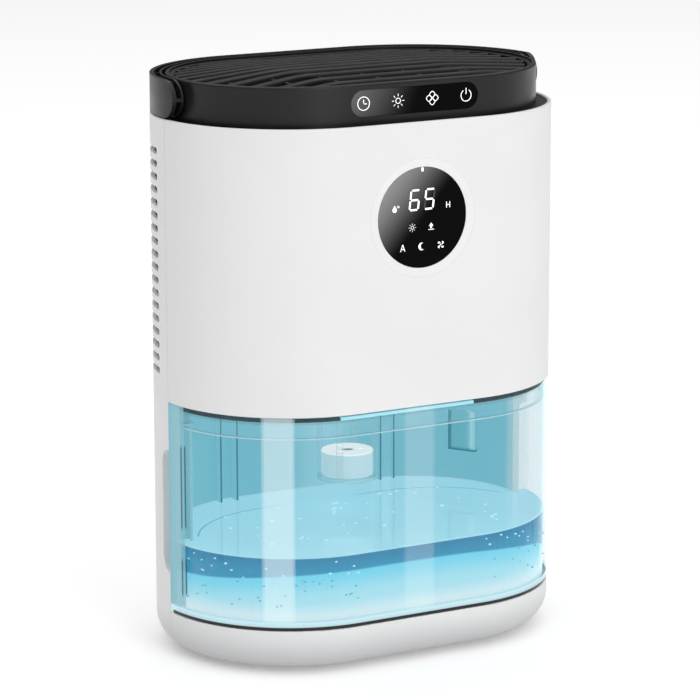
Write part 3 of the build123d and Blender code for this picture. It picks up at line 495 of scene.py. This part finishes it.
def make_bubble():
    """Air bubbles with painted light: a painted highlight against the deep band, painted shade against the
    pale water, and a painted glow.
    """
    surface = Surface("bubble", (0.8, 0.95, 1.0), 0.1)
    # painted highlight high in the water, painted shade lower down
    low = surface.ramp(surface.place()[2], WATER_LEVEL - 14 * MM, WATER_LEVEL - 10 * MM)
    tint = surface.mix(low, (0.12, 0.45, 0.60), (0.62, 0.90, 0.98))
    surface.paint(tint, 0.85, [], 0.3, 0.7)
    return surface.material


def make_glow(name, colour, strength, roughness=0.3):
    """Plastic or print that shines in its own colour."""
    surface = Surface(name, colour, roughness, Emission_Strength=strength)
    surface.set("Emission Color", (*colour, 1.0))
    surface.mottle(80.0, tuple(0.97 * part for part in colour), colour)
    return surface.material


def make_simple(name, colour, roughness, scale, metallic=0.0, spread=0.06, contrast=0.12):
    """A plain moulded, cast or turned finish with grain and a little colour change."""
    surface = Surface(name, colour, roughness, Metallic=metallic)
    darker = tuple(part * (1 - contrast) for part in colour)
    lighter = tuple(min(part * (1 + contrast), 1) for part in colour)
    surface.mottle(scale / 8, darker, lighter)
    return surface.grain(scale, 0.12, 0.00006, spread).material


def make_brushed(name, colour, roughness):
    """Drawn or extruded metal with fine lines along Z."""
    surface = Surface(name, colour, roughness, Metallic=1.0)
    lines = surface.upright_lines(900.0, 12.0)
    gloss = surface.ramp(lines, 0.3, 0.7, roughness - 0.1, roughness + 0.12)
    surface.link(gloss, surface.shader.inputs["Roughness"])
    surface.bump(lines, 0.1, 0.00005)
    return surface.material


FINISHES = {
    "white": make_white_shell(),
    "black": make_black_shell(),
    "part": make_black_part(),
    "grille": make_grille(),
    # each lens: weights across and up, and the grey of its painted reflection
    "disc": make_lens("display_gloss", DISPLAY_CENTRE, 0.046, (1.0, 0.9, (0.29, 0.29, 0.29))),
    "strip": make_lens("strip_gloss", STRIP_CENTRE, 0.050, (1.0, 0.35, (0.14, 0.14, 0.14))),
    "tank": make_clear_tank(),
    "lid": make_lid(),
    "cage": make_thin_clear("clear_cage", (0.75, 0.9, 0.94), 0.1),
    "pocket": make_pocket(),
    "water": make_water(),
    "glow_blue": make_glow("light_bar", (0.34, 0.68, 0.76), 0.28),
    "print": make_glow("lit_print", (0.9, 0.9, 0.9), 0.8),
    "dim": make_simple("unlit_segment", (0.035, 0.035, 0.037), 0.3, 900.0),
    # the drip tray is painted a pale teal and shines with a painted glow, though it is no lamp
    "white_part": make_glow("white_part", (0.7, 0.84, 0.88), 0.22, 0.4),
    "rubber": make_simple("rubber", (0.02, 0.02, 0.02), 0.75, 1200.0),
    "feet": make_simple("pale_rubber", (0.55, 0.55, 0.55), 0.7, 1200.0),
    "steel": make_brushed("zinc_steel", (0.6, 0.6, 0.62), 0.35),
    "aluminium": make_brushed("extruded_aluminium", (0.78, 0.79, 0.81), 0.38),
    "ceramic": make_simple("alumina", (0.85, 0.85, 0.83), 0.5, 800.0, contrast=0.04),
    "brass": make_simple("brass", (0.72, 0.52, 0.22), 0.3, 700.0, metallic=1.0),
    "board": make_simple("circuit_board", (0.02, 0.16, 0.07), 0.35, 400.0, contrast=0.25),
    "digits": make_simple("digit_module", (0.25, 0.25, 0.27), 0.3, 900.0),
    "bubble": make_bubble(),
    "float": make_float(),
}
NODE_FINISH = {
    "white": ["rear_shell", "front_shell", "base_front"],
    "black": ["top_cap", "handle", "mid_chassis", "fan_duct", "bay_floor"],
    "part": ["fan_frame", "fan_rotor", "display_housing", "dc_jack"],
    "disc": ["display_lens"],
    "strip": ["touch_lens"],
    "tank": ["water_tank"],
    "lid": ["tank_lid"],
    "cage": ["float_cage", "light_diffuser"],
    "pocket": ["sensor_pocket"],
    "glow_blue": ["light_guide"],
    "white_part": ["drip_tray"],
    "float": ["float"],
    "rubber": ["lid_seal", "pour_plug", "insulation_frame"],
    "feet": ["rubber_feet"],
    "steel": ["case_screws", "back_screws", "display_screws", "sink_screws", "fan_screws", "board_screws",
              "handle_pins", "sink_bracket", "float_magnet", "fan_stator"],
    "aluminium": ["hot_sink", "cold_sink"],
    "ceramic": ["peltier_module"],
    "brass": ["handle_bushes", "touch_pads"],
    "board": ["touch_board", "display_board", "main_board", "humidity_sensor", "float_sensor",
              "night_light_board"],
    "digits": ["digit_display"],
}


def dress_nodes():
    """Give each CAD node listed in NODE_FINISH its finish."""
    for finish, names in NODE_FINISH.items():
        for name in names:
            slots = NODES[name].data.materials
            slots.clear()
            slots.append(FINISHES[finish])


# ---------------------------------------------------------------- mesh helpers
def mesh_piece(name, shape, finish, body, smooth=False):
    """Turn a bmesh into a piece that rides on a body."""
    bmesh.ops.recalc_face_normals(shape, faces=shape.faces)
    data = bpy.data.meshes.new(name)
    shape.to_mesh(data)
    shape.free()
    data.materials.append(FINISHES[finish])
    if smooth:
        data.polygons.foreach_set("use_smooth", [True] * len(data.polygons))
    piece = bpy.data.objects.new(name, data)
    bpy.context.scene.collection.objects.link(piece)
    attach(piece, body)
    return piece


def ribbon(shape, inner, outer, face_y, thick, closed=False):
    """A flat printed band between two matching lines of (x, z) points, standing proud of face_y."""
    rows = []
    for points in (inner, outer):
        for depth in (face_y - thick, face_y):
            rows.append([shape.verts.new((x, depth, z)) for x, z in points])
    front_in, back_in, front_out, back_out = rows
    count = len(inner)
    for index in range(count if closed else count - 1):
        after = (index + 1) % count
        sides = ((front_in, front_out), (front_out, back_out), (back_out, back_in), (back_in, front_in))
        for first, second in sides:
            shape.faces.new((first[index], first[after], second[after], second[index]))
    if not closed:
        for index in (0, -1):
            shape.faces.new([row[index] for row in (front_in, front_out, back_out, back_in)])


def arc(shape, centre, radius, width, start, end, face_y, thick=PRINT_THICK):
    """A band along a circle, from start to end degrees, anticlockwise from +X."""
    closed = abs(end - start) >= 360
    steps = max(8, int(abs(end - start) / 9))
    angles = [math.radians(start + (end - start) * i / steps) for i in range(steps if closed else steps + 1)]
    lines = [[(centre[0] + r * math.cos(a), centre[1] + r * math.sin(a)) for a in angles]
             for r in (radius - width / 2, radius + width / 2)]
    ribbon(shape, lines[0], lines[1], face_y, thick, closed)


def bar(shape, start, end, width, face_y, thick=PRINT_THICK):
    """A straight band with pointed-round ends between two (x, z) points."""
    along = Vector((end[0] - start[0], end[1] - start[1]))
    side = Vector((-along.y, along.x)).normalized() * width / 2
    tip = along.normalized() * width * 0.3
    inner, outer = [], []
    still = 0 * tip
    corners = ((start, -tip, 0.45), (start, still, 1.0), (end, still, 1.0), (end, tip, 0.45))
    for point, shift, scale in corners:
        middle = Vector(point) + shift
        inner.append(tuple(middle - side * scale))
        outer.append(tuple(middle + side * scale))
    ribbon(shape, inner, outer, face_y, thick)


def patch(shape, points, face_y, thick=PRINT_THICK):
    """A filled flat outline of (x, z) points, standing proud of face_y."""
    front = [shape.verts.new((x, face_y - thick, z)) for x, z in points]
    back = [shape.verts.new((x, face_y, z)) for x, z in points]
    shape.faces.new(front)
    shape.faces.new(back)
    for index in range(len(points)):
        after = (index + 1) % len(points)
        shape.faces.new((front[index], front[after], back[after], back[index]))


def circle_points(centre, radius, steps=20):
    """A circle as (x, z) points."""
    turns = [2 * math.pi * i / steps for i in range(steps)]
    return [(centre[0] + radius * math.cos(a), centre[1] + radius * math.sin(a)) for a in turns]


def obround(inset, steps=40):
    """Half plan lines of the housing moved inwards: points of the front half, from -X to +X."""
    radius = HALF_DEPTH - inset
    points = []
    for side, start in ((-1, 180), (1, 270)):
        for i in range(steps // 2 + 1):
            angle = math.radians(start + 90 * i / (steps // 2))
            points.append((side * STRAIGHT_HALF + radius * math.cos(angle), radius * math.sin(angle)))
    return points


# ---------------------------------------------------------------- icons
def key_place(index):
    """The middle of a touch key on the strip's face, counted from the left."""
    return STRIP_CENTRE.x + (index - 1.5) * KEY_PITCH, STRIP_CENTRE.z


def draw_clock(shape, centre, size, face_y):
    """A ring with two hands."""
    x, z = centre
    arc(shape, centre, size * 0.9, size * 0.1, 0, 360, face_y)
    bar(shape, (x, z + size * 0.06), (x, z + size * 0.5), size * 0.12, face_y)
    bar(shape, (x + size * 0.1, z - size * 0.06), (x + size * 0.45, z - size * 0.06), size * 0.12, face_y)


def draw_sun(shape, centre, size, face_y):
    """A small ring with eight rays."""
    arc(shape, centre, size * 0.36, size * 0.09, 0, 360, face_y)
    for index in range(8):
        angle = math.pi / 4 * index
        ends = [(centre[0] + reach * size * math.cos(angle), centre[1] + reach * size * math.sin(angle))
                for reach in (0.64, 0.94)]
        bar(shape, ends[0], ends[1], size * 0.075, face_y)


def draw_petal_fan(shape, centre, size, face_y):
    """Four petals, each a ring drawn out into a soft diamond."""
    for index in range(4):
        turn = math.pi / 2 * index
        lines = []
        for scale in (0.37, 0.47):
            line = []
            for step in range(24):
                angle = 2 * math.pi * step / 24
                swell = scale * size * (1 - 0.12 * math.sin(2 * angle) ** 2)
                reach = size * 0.5 + swell * math.cos(angle)
                across = swell * math.sin(angle)
                line.append((centre[0] + reach * math.cos(turn) - across * math.sin(turn),
                             centre[1] + reach * math.sin(turn) + across * math.cos(turn)))
            lines.append(line)
        ribbon(shape, lines[0], lines[1], face_y, PRINT_THICK * (1 + 0.05 * index), closed=True)


def draw_power(shape, centre, size, face_y):
    """An open ring with an upright bar in its gap."""
    arc(shape, centre, size * 0.8, size * 0.1, 122, 418, face_y)
    x, z = centre
    bar(shape, (x, z + size * 0.2), (x, z + size * 0.98), size * 0.11, face_y)


def draw_drop(shape, centre, size, face_y):
    """A filled drop with two short mist strokes."""
    x, z = centre
    points = []
    for step in range(24):
        angle = 2 * math.pi * step / 24
        pull = max(math.sin(angle), 0) ** 3
        points.append((x - size * 0.15 + size * 0.52 * math.cos(angle) * (1 - 0.75 * pull),
                       z - size * 0.2 + size * 0.52 * math.sin(angle) + size * 0.45 * pull))
    patch(shape, points, face_y)
    bar(shape, (x + size * 0.5, z + size * 0.35), (x + size * 0.7, z + size * 0.65), size * 0.14, face_y)
    bar(shape, (x + size * 0.78, z + size * 0.2), (x + size * 0.98, z + size * 0.5), size * 0.14, face_y)


def draw_hours(shape, centre, size, face_y):
    """A letter H, for hours."""
    x, z = centre
    for post in (x - size * 0.45, x + size * 0.45):
        bar(shape, (post, z - size * 0.7), (post, z + size * 0.7), size * 0.16, face_y)
    bar(shape, (x - size * 0.3, z), (x + size * 0.3, z), size * 0.16, face_y)


def draw_defrost(shape, centre, size, face_y):
    """An arrowhead on a short stem over a line."""
    x, z = centre
    patch(shape, [(x - size * 0.55, z), (x + size * 0.55, z), (x, z + size * 0.75)], face_y)
    patch(shape, [(x - size * 0.2, z - size * 0.5), (x + size * 0.2, z - size * 0.5),
                  (x + size * 0.2, z - size * 0.02), (x - size * 0.2, z - size * 0.02)], face_y)
    bar(shape, (x - size * 0.7, z - size * 0.78), (x + size * 0.7, z - size * 0.78), size * 0.14, face_y)


def draw_auto(shape, centre, size, face_y):
    """A letter A, for automatic."""
    x, z = centre
    bar(shape, (x - size * 0.55, z - size * 0.75), (x - size * 0.05, z + size * 0.75), size * 0.15, face_y)
    bar(shape, (x + size * 0.55, z - size * 0.75), (x + size * 0.05, z + size * 0.75), size * 0.15, face_y)
    bar(shape, (x - size * 0.24, z - size * 0.25), (x + size * 0.24, z - size * 0.25), size * 0.14, face_y)


def draw_moon(shape, centre, size, face_y):
    """A crescent between two arcs that share their ends."""
    outer = [math.radians(60 + 250 * step / 24) for step in range(25)]
    big = [(centre[0] + size * 0.8 * math.cos(a), centre[1] + size * 0.8 * math.sin(a)) for a in outer]
    start, end = Vector(big[0]), Vector(big[-1])
    small = []
    for step, point in enumerate(big):
        chord = start.lerp(end, step / 24)
        small.append(tuple(chord.lerp(Vector(point), 0.6)))
    ribbon(shape, small[1:-1], big[1:-1], face_y, PRINT_THICK)


def draw_rotor(shape, centre, size, face_y):
    """A small fan with four swept blades."""
    for index in range(4):
        turn = math.pi / 2 * index
        inner, outer = [], []
        for step in range(9):
            share = step / 8
            radius = size * (0.26 + 0.58 * share)
            swell = 0.25 + 0.5 * math.sin(math.pi * min(share * 0.8, 1))
            for line, sweep in ((inner, 0.1), (outer, swell)):
                angle = turn + sweep + 0.5 * share
                line.append((centre[0] + radius * math.cos(angle), centre[1] + radius * math.sin(angle)))
        ribbon(shape, inner, outer, face_y, PRINT_THICK)
    patch(shape, circle_points(centre, size * 0.14), face_y)


def segment_lines(centre, height, width, slant):
    """The seven segments of a digit as (start, end) pairs, in the order a to g."""
    half_w, half_h = width / 2, height / 2
    gap = height * 0.07
    spans = [((-half_w + gap, half_h), (half_w - gap, half_h)), ((half_w, half_h - gap), (half_w, gap)),
             ((half_w, -gap), (half_w, -half_h + gap)), ((-half_w + gap, -half_h), (half_w - gap, -half_h)),
             ((-half_w, -gap), (-half_w, -half_h + gap)), ((-half_w, half_h - gap), (-half_w, gap)),
             ((-half_w + gap, 0), (half_w - gap, 0))]
    return [tuple((centre[0] + x + z * slant, centre[1] + z) for x, z in span) for span in spans]


def build_prints():
    """The icons and digits of the touch strip and the display."""
    keys = (("clock", draw_clock), ("sun", draw_sun), ("petals", draw_petal_fan), ("power", draw_power))
    for index, (name, draw) in enumerate(keys):
        shape = bmesh.new()
        draw(shape, key_place(index), KEY_SIZE, STRIP_LOW.y)
        mesh_piece(f"key_{name}", shape, "print", "housing")
    face = DISPLAY_LOW.y
    icons = [
        ("drop", draw_drop, -17.8, 6.2, 2.7),
        ("hours", draw_hours, 17.0, 6.0, 2.4),
        ("light", draw_sun, -6.6, -5.4, 2.5),
        ("defrost", draw_defrost, 5.8, -5.4, 2.5),
        ("auto", draw_auto, -12.9, -16.7, 2.5),
        ("night", draw_moon, -0.4, -16.7, 2.7),
        ("speed", draw_rotor, 12.2, -16.8, 2.8),
    ]
    for name, draw, x, z, size in icons:
        shape = bmesh.new()
        draw(shape, (DISPLAY_CENTRE.x + x * MM, DISPLAY_CENTRE.z + z * MM), size * MM, face)
        mesh_piece(f"icon_{name}", shape, "print", "housing")
    lit, dim = bmesh.new(), bmesh.new()
    for digit, x in DIGIT_PLACES:
        centre = (DISPLAY_CENTRE.x + x, DISPLAY_CENTRE.z + DIGIT_RISE)
        spans = segment_lines(centre, DIGIT_HEIGHT, DIGIT_WIDTH, DIGIT_SLANT)
        for letter, (start, end) in zip("abcdefg", spans):
            shape = lit if letter in LIT_SEGMENTS[digit] else dim
            bar(shape, start, end, SEGMENT_WIDTH, face)
    mesh_piece("digits_lit", lit, "print", "housing")
    mesh_piece("digits_unlit", dim, "dim", "housing")
    tick = bmesh.new()
    top = DISPLAY_HIGH.z
    bar(tick, (DISPLAY_CENTRE.x, top - 2.2 * MM), (DISPLAY_CENTRE.x, top - 0.5 * MM), 1.3 * MM, face)
    mesh_piece("display_tick", tick, "print", "housing")


# ---------------------------------------------------------------- grille
def grille_limit(x):
    """Half depth of the grille's opening at x, in millimetres."""
    radius = (GRILLE_HIGH.y / MM) - 1.5
    beyond = max(abs(x) - STRAIGHT_HALF / MM, 0)
    return math.sqrt(max(radius ** 2 - beyond ** 2, 0))


def rib_height(level, x):
    """Where a rib that runs at this level lies at x: flat in the middle, falling forwards at both ends."""
    drop = 25.0 - 0.28 * max(level, 0)
    left = max(GRILLE_BEND_LEFT - x, 0) / 44.0
    right = max(x - GRILLE_BEND_RIGHT, 0) / 34.0
    fall = left ** 2 / (left + 0.35) * 1.25 + right ** 2 / (right + 0.3) * 1.1
    return level + 1.5 * math.sin((x + 40) / 40) - drop * fall


def build_grille():
    """Wavy outlet ribs with rounded tops inside the cap's lip, over cross bars, in a rim."""
    shape = bmesh.new()
    half_length = GRILLE_HIGH.x / MM
    rear_levels = [GRILLE_LEVELS[-1] + GRILLE_REAR_PITCH * step for step in range(1, GRILLE_REAR_RIBS + 1)]
    levels = GRILLE_LEVELS + rear_levels
    top = GRILLE_HIGH.z
    for index, level in enumerate(levels):
        below = levels[index - 1] if index else level - 17
        width = min(0.55 * (level - below), 6.4) * MM
        stations = []
        steps = 120
        for step in range(steps + 1):
            x = -half_length + 2 * half_length * step / steps
            y = rib_height(level, x)
            if abs(y) < grille_limit(x) - 0.2:
                stations.append((x, y))
            elif stations:
                add_rib(shape, stations, width, top)
                stations = []
        add_rib(shape, stations, width, top)
    build_rim(shape, top)
    piece = mesh_piece("grille_waves", shape, "grille", "housing", smooth=True)
    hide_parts("top_grille")
    edges = piece.modifiers.new("edges", "EDGE_SPLIT")
    edges.split_angle = math.radians(50)
    return piece


def add_rib(shape, stations, width, top):
    """One rib with a rounded top along its (x, y) stations."""
    if len(stations) < 4:
        return
    rows = []
    for index, (x, y) in enumerate(stations):
        before = Vector(stations[max(index - 1, 0)])
        after = Vector(stations[min(index + 1, len(stations) - 1)])
        along = (after - before).normalized()
        side = Vector((-along.y, along.x))
        rows.append([shape.verts.new((x * MM + side.x * across * width, y * MM + side.y * across * width,
                                      top - 0.4 * MM + drop * RIB_DEPTH)) for across, drop in RIB_PROFILE])
    for first, second in zip(rows, rows[1:]):
        for index in range(len(RIB_PROFILE)):
            after = (index + 1) % len(RIB_PROFILE)
            shape.faces.new((first[index], first[after], second[after], second[index]))
    shape.faces.new(rows[0])
    shape.faces.new(rows[-1])


def build_rim(shape, top):
    """The grille's rim and the cross bars under its ribs."""
    rim_bottom = GRILLE_LOW.z
    outer = obround(HALF_DEPTH - GRILLE_HIGH.y)
    inner = obround(HALF_DEPTH - GRILLE_HIGH.y + 2.4 * MM)
    rows = []
    for line, z in ((outer, rim_bottom), (outer, top), (inner, top - 0.5 * MM), (inner, rim_bottom)):
        loop = line + [(-x, -y) for x, y in line]
        rows.append([shape.verts.new((x, y, z)) for x, y in loop])
    for first, second in zip(rows, rows[1:] + rows[:1]):
        for index in range(len(first)):
            after = (index + 1) % len(first)
            shape.faces.new((first[index], first[after], second[after], second[index]))
    for x in CROSS_BARS:
        reach = grille_limit(abs(x) + 2) * MM
        size = Matrix.Diagonal((CROSS_BAR_WIDTH, 2 * reach, 1.0 * MM, 1))
        spot = Matrix.Translation((x * MM, 0, rim_bottom + 0.5 * MM)) @ size
        made = bmesh.ops.create_cube(shape, size=1.0, matrix=spot)
        edges = {edge for vert in made["verts"] for edge in vert.link_edges}
        bmesh.ops.bevel(shape, geom=list(edges), offset=0.25 * MM, segments=1, affect="EDGES")


# ---------------------------------------------------------------- water
def tank_plan(inset):
    """The tank's plan as a closed line of (x, y) points, moved inwards by inset."""
    front = [(x, y) for x, y in obround(inset) if y < -TANK_SHOULDER - inset]
    rear = obround(TANK_REAR_INSET + inset)
    edge_y = -TANK_SHOULDER - inset
    reach = HALF_DEPTH - inset
    end_x = STRAIGHT_HALF + math.sqrt(reach ** 2 - edge_y ** 2)
    rear_reach = HALF_DEPTH - TANK_REAR_INSET - inset
    step_x = STRAIGHT_HALF + math.sqrt(rear_reach ** 2 - edge_y ** 2)
    line = [(-end_x, edge_y)] + front + [(end_x, edge_y), (step_x, edge_y)]
    line += [(-x, -y) for x, y in rear if y < 0]
    return line + [(-step_x, edge_y)]


def build_water():
    """The collected water, with a small meniscus where it meets the walls."""
    shape = bmesh.new()
    side = TANK_WALL + WATER_GAP
    floor = TANK_FLOOR_TOP + 0.05 * MM
    loops = []
    for inset, z in ((side, floor), (side, WATER_LEVEL + MENISCUS),
                     (side + 0.5 * MM, WATER_LEVEL + 0.25 * MM), (side + 1.6 * MM, WATER_LEVEL)):
        loops.append([shape.verts.new((x, y, z)) for x, y in tank_plan(inset)])
    count = min(len(loop) for loop in loops)
    for first, second in zip(loops, loops[1:]):
        for index in range(count):
            after = (index + 1) % count
            shape.faces.new((first[index], first[after], second[after], second[index]))
    shape.faces.new(loops[-1])
    shape.faces.new(loops[0])
    mesh_piece("water", shape, "water", "tank")


def build_bubbles():
    """Small air bubbles on the front wall and on the water's surface."""
    dice = random.Random(7)
    shape = bmesh.new()
    line = [point for point in obround(TANK_WALL + 0.1 * MM, 200) if point[1] < -8 * MM]
    for _ in range(WALL_BUBBLES):
        x, y = dice.choice(line)
        z = TANK_FLOOR_TOP + 6 * MM + (WATER_LEVEL - TANK_FLOOR_TOP - 8 * MM) * dice.random() ** 0.7
        add_bubble(shape, Vector((x, y, z)), dice.uniform(0.45, 0.75) * MM, 0.8)
    for _ in range(SURFACE_BUBBLES):
        x, y = dice.uniform(-90, 90) * MM, dice.uniform(-62, 40) * MM
        if math.hypot(max(abs(x) - STRAIGHT_HALF, 0), y) < 62 * MM:
            add_bubble(shape, Vector((x, y, WATER_LEVEL + 0.1 * MM)), dice.uniform(0.5, 1.0) * MM, 0.55)
    mesh_piece("bubbles", shape, "bubble", "tank", smooth=True)


def add_bubble(shape, place, radius, squash):
    """A bubble, wider along X than it is deep, and flattened by squash."""
    spot = Matrix.Translation(place) @ Matrix.Diagonal((radius * 1.5, radius, radius * squash, 1))
    bmesh.ops.create_icosphere(shape, subdivisions=2, radius=1.0, matrix=spot)


# ---------------------------------------------------------------- room and camera
def build_stage():
    """A plain pale floor that fills the view."""
    shape = bmesh.new()
    bmesh.ops.create_grid(shape, x_segments=1, y_segments=1, size=FLOOR_HALF)
    data = bpy.data.meshes.new("floor")
    shape.to_mesh(data)
    shape.free()
    floor = bpy.data.objects.new("floor", data)
    bpy.context.scene.collection.objects.link(floor)
    paper = Surface("floor", (0.93, 0.93, 0.93), 0.9, Specular_IOR_Level=0.1, Emission_Strength=0.2)
    paper.set("Emission Color", (1.0, 1.0, 1.0, 1.0))
    data.materials.append(paper.material)


def add_area(name, place, target, size, power):
    """A rectangular soft light that points at target."""
    light = bpy.data.lights.new(name, "AREA")
    light.shape = "RECTANGLE"
    light.size, light.size_y = size
    light.energy = power
    lamp = bpy.data.objects.new(name, light)
    lamp.location = place
    lamp.rotation_euler = (Vector(target) - Vector(place)).to_track_quat("-Z", "Y").to_euler()
    bpy.context.scene.collection.objects.link(lamp)


def build_lights():
    """A large soft light overhead, a smaller one in front, and a little light from all round."""
    world = bpy.data.worlds.new("studio")
    world.use_nodes = True
    background = world.node_tree.nodes["Background"]
    background.inputs["Color"].default_value = (1.0, 1.0, 1.0, 1.0)
    background.inputs["Strength"].default_value = WORLD_LIGHT
    bpy.context.scene.world = world
    bpy.context.scene.view_settings.view_transform = "Standard"
    for light in (OVERHEAD, FRONT_KEY):
        add_area(*light)


def build_camera():
    """The camera: about 30 degrees to the left of the front and 12 degrees up, with a long lens."""
    azimuth, elevation, roll = math.radians(-29.55), math.radians(12.19), math.radians(-0.12)
    distance, lens = 2.026, 175.8
    target = Vector((0.0, 0.0, 0.171))
    level = math.cos(elevation)
    back = Vector((math.sin(azimuth) * level, -math.cos(azimuth) * level, math.sin(elevation)))
    right = (-back).cross(Vector((0, 0, 1))).normalized()
    up = right.cross(-back)
    turned_right = right * math.cos(roll) + up * math.sin(roll)
    turned_up = up * math.cos(roll) - right * math.sin(roll)
    data = bpy.data.cameras.new("camera")
    data.lens = lens
    data.shift_x, data.shift_y = -0.0041, -0.0008
    camera = bpy.data.objects.new("camera", data)
    axes = Matrix((turned_right, turned_up, back)).transposed().to_4x4()
    camera.matrix_world = Matrix.Translation(target + back * distance) @ axes
    bpy.context.scene.collection.objects.link(camera)
    bpy.context.scene.camera = camera


dress_nodes()
build_prints()
build_grille()
build_water()
build_bubbles()
build_stage()
build_lights()
build_camera()
